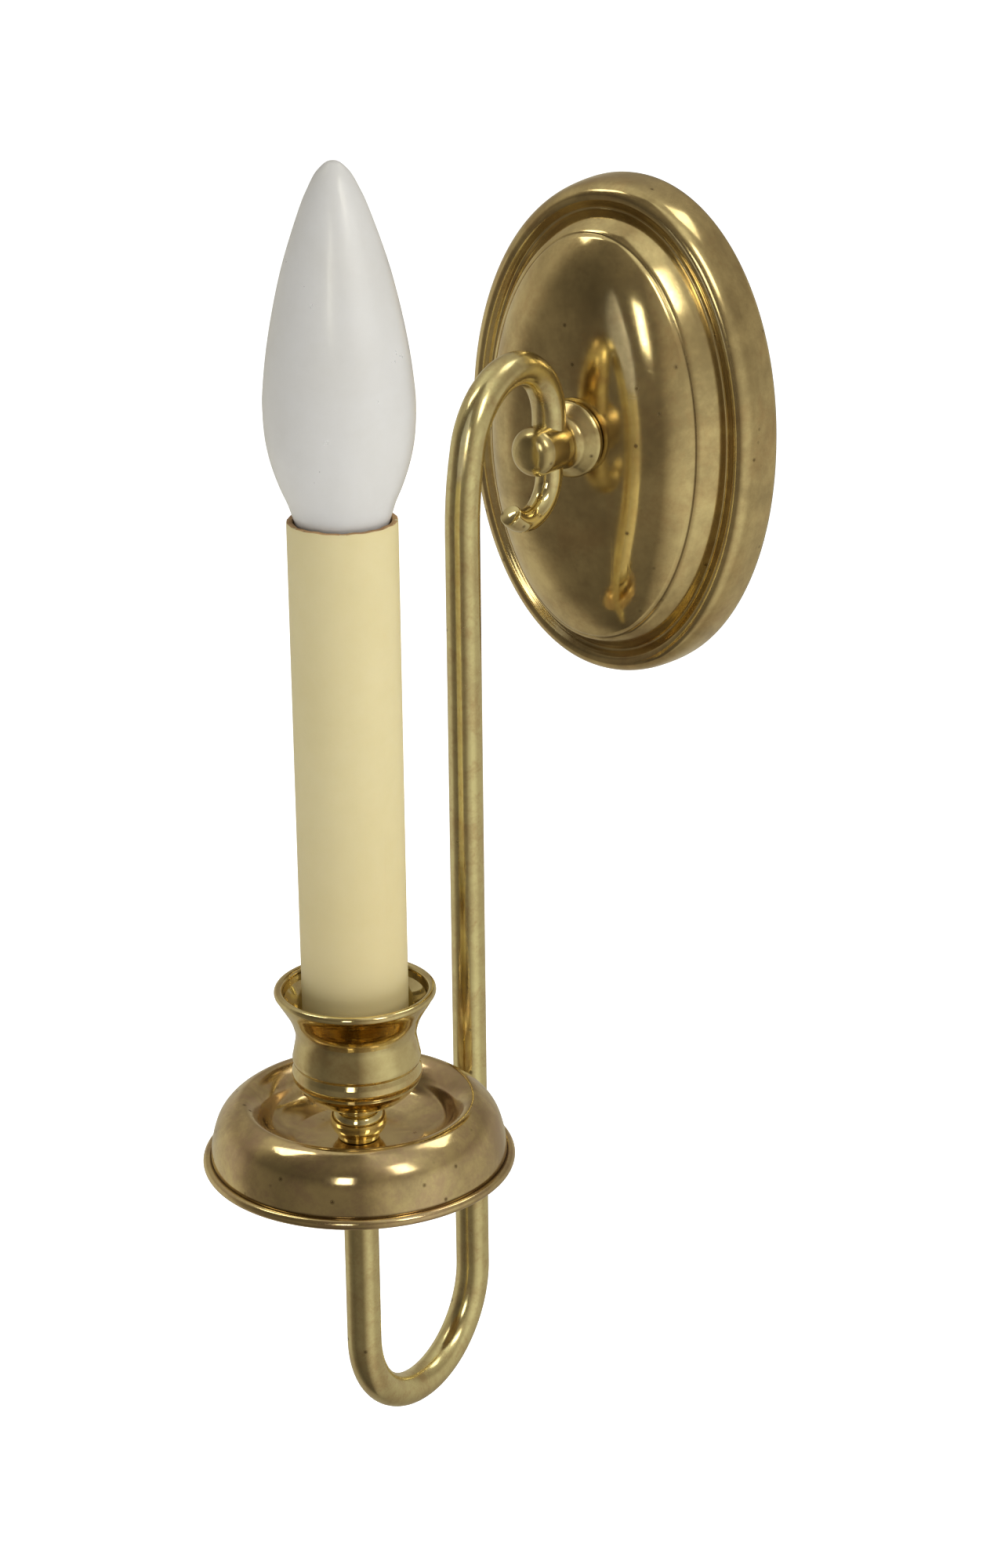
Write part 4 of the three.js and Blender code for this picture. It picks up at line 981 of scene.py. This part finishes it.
def buildBulbMount():
    baseTop = nodeBox("bulb_screw_base")[1].z
    low, high = nodeBox("bulb_stem")
    foot, top = low.z, high.z
    stem = flowing([
        (3.6, foot), (3.2, foot + 5), (2.3, baseTop + 2), (1.9, top - 5), (2.4, top - 2.5), (1.2, top - 0.2),
    ], 30)
    turned("glassStem", stem + [(0, top), (0, foot)], onCandle, "bulb_stem", clear, sides=64)
    wire = flowing([(x, top + z) for x, z in bulb["leadWire"]], 24)
    for side, piece, label in ((-1, "bulb_lead_left", "stemWireLeft"), (1, "bulb_lead_right", "stemWireRight")):
        line = [(side * x, candleY, z) for x, z in wire]
        swept(label, line, bulb["leadRadius"], piece, nickel, sides=12)
    coil = []
    for i in range(361):
        t = i / 360
        turn = 2 * math.pi * bulb["coilTurns"] * t
        z = top + bulb["coilRise"] + bulb["coilBow"] * math.sin(math.pi * t)
        x = -bulb["coilHalf"] + 2 * bulb["coilHalf"] * t
        y = candleY + bulb["coilRadius"] * math.cos(turn)
        coil.append((x, y, z + bulb["coilRadius"] * math.sin(turn)))
    swept("filamentCoil", coil, bulb["wireRadius"], "bulb_filament", filamentWire, sides=6)


buildEnvelope()
buildBulbMount()
screwBase = dict(pitch=2.54, depth=0.3, wall=0.4, rows=96, sides=96)


def buildBase():
    low, high = nodeBox("bulb_screw_base")
    radius = high.x
    throat, lap = radius - screwBase["wall"] - 0.2, 2.6
    wall = [(radius, z) for z in np.linspace(low.z + 1.4, high.z - 0.4, screwBase["rows"])]
    outline = [(throat, high.z), (throat, low.z + 0.8), (lap, low.z + 0.4), (lap, low.z)]
    outline += [(radius - 0.9, low.z), (radius - 0.35, low.z + 0.5)] + wall + [(radius - 0.05, high.z)]
    shape = threadShape(radius, screwBase["pitch"], screwBase["depth"], low.z + 1.2, high.z - 1.0)
    turned("threadedBase", outline, onCandle, "bulb_screw_base", nickel, sides=screwBase["sides"], shape=shape)


def buildShell():
    low, high = nodeBox("socket_screw_shell")
    outer, bore = high.x, high.x - screwBase["wall"] + 0.02
    wall = [(bore, z) for z in np.linspace(high.z - 0.5, low.z + 0.5, screwBase["rows"])]
    outline = [(outer, low.z), (outer, high.z), (bore, high.z)] + wall + [(bore, low.z)]
    turned("threadedShell", outline, onCandle, "socket_screw_shell", nutBrass, sides=screwBase["sides"])


buildBase()
buildShell()
holder = dict(
    wall=2.6, floor=3.5, ribs=12, ribDepth=0.22, ribsFrom=3, ribsTo=5, brokenEdge=0.7, sides=144,
    rivetHead=0.8, rivetNeck=0.6, tongueEdge=0.1, strapEdge=0.22,
)


def between(a, b, step=1.0):
    count = max(1, int((Vector(b) - Vector(a)).length / step))
    return [tuple(Vector(a).lerp(Vector(b), (k + 1) / count)) for k in range(count)]


def buildButton():
    low, high = nodeBox("bulb_base_insulator")
    outline = eased([(0, high.z), (4.9, high.z), (4.5, high.z - 0.7), (2.9, low.z), (0, low.z)], 0.5)
    turned("baseButtonGlass", outline, onCandle, "bulb_base_insulator", blackGlass, sides=72)
    low, high = nodeBox("bulb_centre_contact")
    outline = eased([(0, high.z), (2.1, high.z), (1.9, high.z - 0.5), (1.1, low.z + 0.1), (0, low.z)], 0.4)
    turned("solderButton", outline, onCandle, "bulb_centre_contact", nickel, sides=48,
           shape=lambda r, t, h: (r * (1 + 0.03 * math.sin(3 * t)), h))


def buildHolder():
    low, high = nodeBox("socket_body")
    radius, cavity, seat = high.x, high.x - holder["wall"], low.z + holder["floor"]
    outline = [(0, low.z), (radius, low.z), (radius, high.z), (cavity, high.z), (cavity, seat), (0, seat)]
    body = eased(outline, holder["brokenEdge"])
    body = body[:1] + [p for q, r in zip(body, body[1:]) for p in between(q, r)]

    def ribs(r, turn, h):
        if r > radius - 0.05 and low.z + holder["ribsFrom"] < h < high.z - holder["ribsTo"]:
            return r - holder["ribDepth"] * abs(math.sin(holder["ribs"] * turn)), h
        return r, h

    turned("lampholderBody", body, onCandle, "socket_body", phenolic, sides=holder["sides"], shape=ribs)


def buildRivet():
    low, high = nodeBox("socket_rivet")
    x, r = (low.x + high.x) / 2, (high.x - low.x) / 2
    head, neck = holder["rivetHead"], r - holder["rivetNeck"]
    outline = [(0, low.z), (r * 0.8, low.z + 0.2), (r, low.z + head), (neck, low.z + head)]
    outline += [(neck, high.z - head), (r, high.z - head), (r * 0.8, high.z - 0.2), (0, high.z)]
    turned("strapRivet", eased(outline, 0.25), (x, candleY, 0), "socket_rivet", steel, sides=40)


buildButton()
buildHolder()
buildRivet()
easedCopy("contactTongue", "socket_centre_contact", nutBrass, holder["tongueEdge"])
easedCopy("holderStrap", "socket_bracket", steel, holder["strapEdge"])
print("sleeve, bulb and lampholder built")
nut = dict(threadPitch=1.0, threadDepth=0.12, threadRows=40, countersink=0.35, sides=144)


def nutShape(flats, hole, low, high):
    # pulls the turned blank in to six flats and rounds its corners over
    corner = flats / math.sqrt(3)

    def shape(r, turn, h):
        if r < hole + 0.01:
            return r, h
        face = flats / 2 / math.cos((turn + math.pi / 6) % (math.pi / 3) - math.pi / 6)
        grown = hole + (r - hole) * (face - hole) / (corner - hole)
        over = max(0.0, grown - flats / 2 * 0.97)
        drop = over * 0.55
        return grown, h - drop if h > (low + high) / 2 else h + drop

    return shape


def nutPiece(name, piece, centre, place, flats, hole, low, high, material):
    corner, sink = flats / math.sqrt(3), nut["countersink"]
    ringsOut = [hole + sink, hole + 1.2, corner * 0.86, corner * 0.93, corner]
    threads = [(hole, h) for h in np.linspace(high - sink, low + sink, nut["threadRows"])]
    outline = [(r, low) for r in ringsOut] + [(r, high) for r in reversed(ringsOut)] + threads
    blank = nutShape(flats, hole + 0.02, low, high)
    thread = threadShape(hole, nut["threadPitch"], -nut["threadDepth"], low + 0.3, high - 0.3)

    def shape(r, turn, h):
        return thread(r, turn, h) if abs(r - hole) < 0.01 else blank(r, turn, h)

    turned(name, outline, centre, piece, material, place=place, sides=nut["sides"], shape=shape, sharp=28)


nipple = dict(bore=2.9, chamfer=0.4, pitch=0.94, depth=0.32, rows=220, sides=72)
toothed = dict(teeth=18, toothShare=0.75, toothDepth=0.9, ring=1.2, sides=216)
strapEdge = 0.3
onBoss = (0, 0, bossZ)


def acrossFlats(high):
    return 2 * high.x * math.cos(math.pi / 6)


def buildCupNut():
    low, high = nodeBox("cup_nut")
    bore = tubeRadius + seatGap
    nutPiece("cupNut", "cup_nut", onCandle, upright, acrossFlats(high), bore, low.z, high.z, nutBrass)
    low, high = nodeBox("bracket_washer")
    outline = eased([(bore, low.z), (high.x, low.z), (high.x, high.z), (bore, high.z)], 0.2, closed=True)
    turned("strapWasher", outline, onCandle, "bracket_washer", steel, sides=96)


def buildNipple():
    low, high = nodeBox("boss_nipple")
    outer, bore, cut = high.x, nipple["bore"], nipple["chamfer"]
    back, front = -high.y, -low.y
    wall = [(outer, h) for h in np.linspace(back + cut, front - cut, nipple["rows"])]
    outline = [(bore, back), (outer - cut, back)] + wall + [(outer - cut, front), (bore, front)]
    shape = threadShape(outer, nipple["pitch"], nipple["depth"], back + cut, front - cut)
    turned("hollowNipple", outline, onBoss, "boss_nipple", steel, place=outward, sides=nipple["sides"],
           shape=shape, sharp=60)
    return outer + seatGap


def buildToothedWasher(hole):
    low, high = nodeBox("boss_lock_washer")
    rim, ring = high.x, high.x - toothed["ring"]
    back, front = -high.y, -low.y

    def teeth(r, turn, h):
        if r > rim - 0.1 and 0.5 + 0.5 * math.sin(toothed["teeth"] * turn) > toothed["toothShare"]:
            return r - toothed["toothDepth"], h
        return r, h

    outline = [(hole, back), (ring, back), (rim, back), (rim, front), (ring, front), (hole, front)]
    turned("toothedWasher", outline, onBoss, "boss_lock_washer", steel, place=outward,
           sides=toothed["sides"], shape=teeth)


buildCupNut()
threadHole = buildNipple()
buildToothedWasher(threadHole)
for name, piece in (("bossNut", "boss_nut"), ("crossbarNut", "crossbar_nut")):
    low, high = nodeBox(piece)
    nutPiece(name, piece, onBoss, outward, acrossFlats(high), threadHole, -high.y, -low.y, steel)
easedCopy("boxStrap", "crossbar", steel, strapEdge)
screw = dict(head=2.1, threadDepth=0.3, rows=130, slotHalf=0.5, slotDepth=1.1, sides=60)


def buildScrew(name, piece, material, shank, pitch):
    low, high = nodeBox(piece)
    centre = (0, 0, (low.z + high.z) / 2)
    head, front, tip = high.x, -low.y, -high.y
    seat = front - screw["head"]
    wall = [(shank, h) for h in np.linspace(tip + 0.7, seat - 0.2, screw["rows"])]
    dome = flowing([
        (head, seat + 0.9), (head * 0.93, seat + 1.5), (head * 0.7, seat + 1.92), (head * 0.3, front),
    ], 14)
    outline = [(0, tip), (shank * 0.6, tip)] + wall + [(shank, seat), (head - 0.15, seat), (head, seat + 0.2)]
    shape = threadShape(shank, pitch, screw["threadDepth"], tip + 0.6, seat - 0.4)
    points, faces = turnedMesh(outline + dome + [(0, front)], centre, outward, screw["sides"], shape)
    slotLow = (-head - 1, -front - 1, centre[2] - screw["slotHalf"])
    slotHigh = (head + 1, -front + screw["slotDepth"], centre[2] + screw["slotHalf"])
    slot = cutter(*blockMesh(slotLow, slotHigh))
    carvedPiece(name, points, faces, [slot], piece, material, sharp=40)


buildScrew("boxScrewUpper", "box_screw_upper", steel, 2.1, 0.8)
buildScrew("boxScrewLower", "box_screw_lower", steel, 2.1, 0.8)
buildScrew("groundScrew", "ground_screw", greenSteel, 1.5, 0.7)
lead = dict(radius=0.95, offset=1.2, turn=1.6, pastNipple=1.2, closest=0.12, sides=16)


def buildLead(side, name, piece, material, connector):
    # from the lampholder down the arm, back through boss and nipple, and up into its connector
    x, turn = side * lead["offset"], lead["turn"]
    line, bendZ = armLine(x, bossZ + turn)
    top = nodeBox("socket_body")[0].z - seatGap
    path = [(x, candleY, z) for z in np.linspace(top, bendZ, 24)[:-1]] + line[::-1]
    turnY = -bossAxis + turn
    path += [(x, y, z) for y, z in arc(turnY, bossZ + turn, turn, 180, 270, 8)[1:]]
    exitY = nodeBox("boss_nipple")[1].y + lead["pastNipple"]
    path += [(x, y, bossZ) for y in np.linspace(turnY, exitY, 16)[1:-1]]
    low, high = nodeBox(connector)
    capX, capY, capZ = abs(low.x + high.x) / 2, (low.y + high.y) / 2, low.z
    path += flowing([
        (x, exitY, bossZ),
        (side * (lead["offset"] + 0.6), exitY + 1.7, bossZ + 0.1),
        (side * capX / 4, exitY + 2.1, bossZ + 0.2),
        (side * (capX / 2 + 1), exitY + 1.4, bossZ + 0.4),
        (side * (capX - 3), capY + 0.3, capZ - 7),
        (side * capX, capY, capZ - 2.6),
        (side * capX, capY, capZ + 1.8),
    ], 60)
    swept(name, spaced(path, lead["closest"]), lead["radius"], piece, material, sides=lead["sides"])


buildLead(-1, "hotLead", "hot_lead", blackCover, "wire_connector_hot")
buildLead(1, "neutralLead", "neutral_lead", whiteCover, "wire_connector_neutral")
twistCap = dict(bore=1.35, boreDepth=2.4, ribs=14, ribDepth=0.3, brokenEdge=0.4, sides=168)


def buildConnector(name, piece):
    low, high = nodeBox(piece)
    centre = ((low.x + high.x) / 2, (low.y + high.y) / 2, 0)
    outer, foot, top = (high.x - low.x) / 2, low.z, high.z
    bore, deep = twistCap["bore"], foot + twistCap["boreDepth"]
    outline = [(bore, foot), (outer - 0.2, foot), (outer, foot + 1.0), (outer, foot + 2.2)]
    outline += between((outer - 0.1, foot + 2.4), (outer - 0.8, top - 3))
    outline += [(outer - 1.8, top - 0.4), (outer - 2.4, top), (0, top), (0, deep), (bore, deep)]
    outline = eased(outline, twistCap["brokenEdge"])

    def ribs(r, turn, h):
        if r > outer - 1.6 and foot + 2.3 < h < top - 0.5:
            fade = min(1, (h - foot - 2.3) / 1.0, (top - 0.5 - h) / 1.5)
            wave = 0.5 + 0.5 * math.cos(twistCap["ribs"] * turn)
            return r - twistCap["ribDepth"] * fade * wave, h
        return r, h

    turned(name, outline, centre, piece, orangeNylon, sides=twistCap["sides"], shape=ribs)


buildConnector("twistCapHot", "wire_connector_hot")
buildConnector("twistCapNeutral", "wire_connector_neutral")
print("fixings and leads built")
studio = dict(
    floorZ=-0.45, floorHalf=14, middle=(0, -0.08, -0.05), worldGlow=0.42,
    camera=(0.396733, -0.639827, 0.189400), yaw=34.3103, pitch=20.3783, roll=-0.6180, lens=75.365,
    tentRadius=1.6,
    # share of a full turn, from straight behind through left, front and right; then brightness
    around=[
        (0.0, 0.42), (0.20, 0.50), (0.30, 0.50), (0.36, 0.20), (0.43, 0.13), (0.50, 0.17), (0.60, 0.19),
        (0.656, 0.46), (0.72, 0.66), (0.77, 0.64), (0.83, 0.47), (1.0, 0.42),
    ],
    # share of the way up from the bottom to the top; then a factor
    height=[
        (0.0, 0.5), (0.25, 0.8), (0.36, 1.0), (0.50, 1.0), (0.60, 0.65), (0.72, 0.8), (0.85, 1.2), (1.0, 1.0),
    ],
    # azimuth and elevation in degrees, half sizes, brightness
    panes=[
        (-62, 58, 8, 10, 3.4), (21, 22, 2.2, 8, 4.5), (26.5, 22, 2.2, 8, 4.5), (75, 42, 7, 10, 4.5),
        (150, 55, 14, 8, 2.0),
    ],
    # name, azimuth, elevation, distance, size, power
    lights=[
        ("keyLight", 85, 30, 1.6, 1.2, 17), ("fillLight", -50, 20, 1.8, 1.4, 2),
        ("topLight", 20, 80, 1.8, 1.6, 12),
    ],
)


def buildFloor():
    mesh = bpy.data.meshes.new("studioFloor")
    half = studio["floorHalf"]
    corners = [(-half, -half, 0), (half, -half, 0), (half, half, 0), (-half, half, 0)]
    mesh.from_pydata(corners, [], [(0, 1, 2, 3)])
    floor = bpy.data.objects.new("studioFloor", mesh)
    floor.location.z = studio["floorZ"]
    bpy.context.scene.collection.objects.link(floor)
    made, tree, surface = newMaterial("paleFloor")
    place = node(tree, "ShaderNodeTexCoord").outputs["Object"]
    grain = noiseOf(tree, place, 3.0, 2.0)
    tree.links.new(blended(tree, grain, (0.93, 0.93, 0.93), (0.95, 0.95, 0.95)), surface.inputs["Base Color"])
    surface.inputs["Roughness"].default_value = 0.9
    surface.inputs["Emission Color"].default_value = (1, 1, 1, 1)
    surface.inputs["Emission Strength"].default_value = 0.8
    mesh.materials.append(made)
    floor.visible_glossy = False


def buildTent():
    # a light tent that only shows in reflections: bright walls, a dim side and a few panes
    outline = [(math.sin(t), -math.cos(t)) for t in np.linspace(0, math.pi, 25)]
    points, faces = turnedMesh(outline, (0, 0, 0), sides=48)
    mesh = bpy.data.meshes.new("lightTent")
    scale = studio["tentRadius"]
    mesh.from_pydata([Vector(p) * scale for p in points], [], faces)
    tent = bpy.data.objects.new("lightTent", mesh)
    bpy.context.scene.collection.objects.link(tent)
    tent.location = (0, -0.07, -0.05)
    for seen in ("visible_camera", "visible_diffuse", "visible_transmission", "visible_shadow"):
        setattr(tent, seen, False)
    made = bpy.data.materials.new("tentCloth")
    made.use_nodes = True
    tree = made.node_tree
    tree.nodes.clear()
    out = node(tree, "ShaderNodeOutputMaterial")
    glow = node(tree, "ShaderNodeEmission")
    place = node(tree, "ShaderNodeTexCoord").outputs["Object"]
    split = node(tree, "ShaderNodeSeparateXYZ")
    tree.links.new(place, split.inputs["Vector"])
    back = maths(tree, "MULTIPLY", split.outputs["Y"], -1.0)
    turn = maths(tree, "ARCTAN2", split.outputs["X"], back)
    share = maths(tree, "ADD", maths(tree, "DIVIDE", turn, 2 * math.pi), 0.5)
    rise = maths(tree, "ARCSINE", maths(tree, "DIVIDE", split.outputs["Z"], scale))
    lift = maths(tree, "ADD", maths(tree, "DIVIDE", rise, math.pi), 0.5)

    def ramp(factor, stops):
        made = node(tree, "ShaderNodeValToRGB")
        bar = made.color_ramp.elements
        while len(bar) > 1:
            bar.remove(bar[-1])
        bar[0].position = stops[0][0]
        bar[0].color = (stops[0][1] / 2,) * 3 + (1,)
        for where, value in stops[1:]:
            bar.new(where).color = (value / 2,) * 3 + (1,)
        tree.links.new(factor, made.inputs["Fac"])
        return maths(tree, "MULTIPLY", made.outputs["Color"], 2.0)

    level = maths(tree, "MULTIPLY", ramp(share, studio["around"]), ramp(lift, studio["height"]))
    for azimuth, elevation, wide, tall, bright in studio["panes"]:
        sideways = maths(tree, "ABSOLUTE", maths(tree, "SUBTRACT", turn, math.radians(azimuth)))
        upward = maths(tree, "ABSOLUTE", maths(tree, "SUBTRACT", rise, math.radians(elevation)))
        a = remap(tree, sideways, math.radians(wide + 1.5), math.radians(wide))
        b = remap(tree, upward, math.radians(tall + 1.5), math.radians(tall))
        level = maths(tree, "ADD", level, maths(tree, "MULTIPLY", maths(tree, "MULTIPLY", a, b), bright))
    tree.links.new(level, glow.inputs["Strength"])
    dim = remap(tree, level, 0.1, 0.7)
    tree.links.new(blended(tree, dim, (1.0, 0.84, 0.60), (1.0, 0.96, 0.76)), glow.inputs["Color"])
    tree.links.new(glow.outputs["Emission"], out.inputs["Surface"])
    mesh.materials.append(made)


def softLight(name, azimuth, elevation, distance, size, power):
    data = bpy.data.lights.new(name, "AREA")
    data.shape = "RECTANGLE"
    data.size = data.size_y = size
    data.energy = power
    light = bpy.data.objects.new(name, data)
    bpy.context.scene.collection.objects.link(light)
    a, e = math.radians(azimuth), math.radians(elevation)
    target = Vector(studio["middle"])
    away = Vector((math.sin(a) * math.cos(e), -math.cos(a) * math.cos(e), math.sin(e)))
    light.location = target + away * distance
    light.rotation_euler = (target - light.location).to_track_quat("-Z", "Y").to_euler()
    light.visible_glossy = False


def buildCamera():
    yaw, pitch, roll = (math.radians(studio[key]) for key in ("yaw", "pitch", "roll"))
    look = Vector((-math.sin(yaw) * math.cos(pitch), math.cos(yaw) * math.cos(pitch), -math.sin(pitch)))
    right = Vector((math.cos(yaw), math.sin(yaw), 0))
    up = right.cross(look)
    level = right * math.cos(roll) + up * math.sin(roll)
    tall = up * math.cos(roll) - right * math.sin(roll)
    data = bpy.data.cameras.new("studioCamera")
    data.sensor_fit = "VERTICAL"
    data.sensor_height = 36
    data.lens = studio["lens"]
    data.clip_start = 0.01
    camera = bpy.data.objects.new("studioCamera", data)
    bpy.context.scene.collection.objects.link(camera)
    turn = Matrix((level, tall, -look)).transposed().to_4x4()
    camera.matrix_world = Matrix.Translation(studio["camera"]) @ turn
    bpy.context.scene.camera = camera


buildFloor()
buildTent()
for light in studio["lights"]:
    softLight(*light)
world = bpy.data.worlds.new("paleRoom")
world.use_nodes = True
world.node_tree.nodes["Background"].inputs["Color"].default_value = (1, 1, 1, 1)
world.node_tree.nodes["Background"].inputs["Strength"].default_value = studio["worldGlow"]
bpy.context.scene.world = world
bpy.context.scene.view_settings.view_transform = "Standard"
buildCamera()
print("studio built")
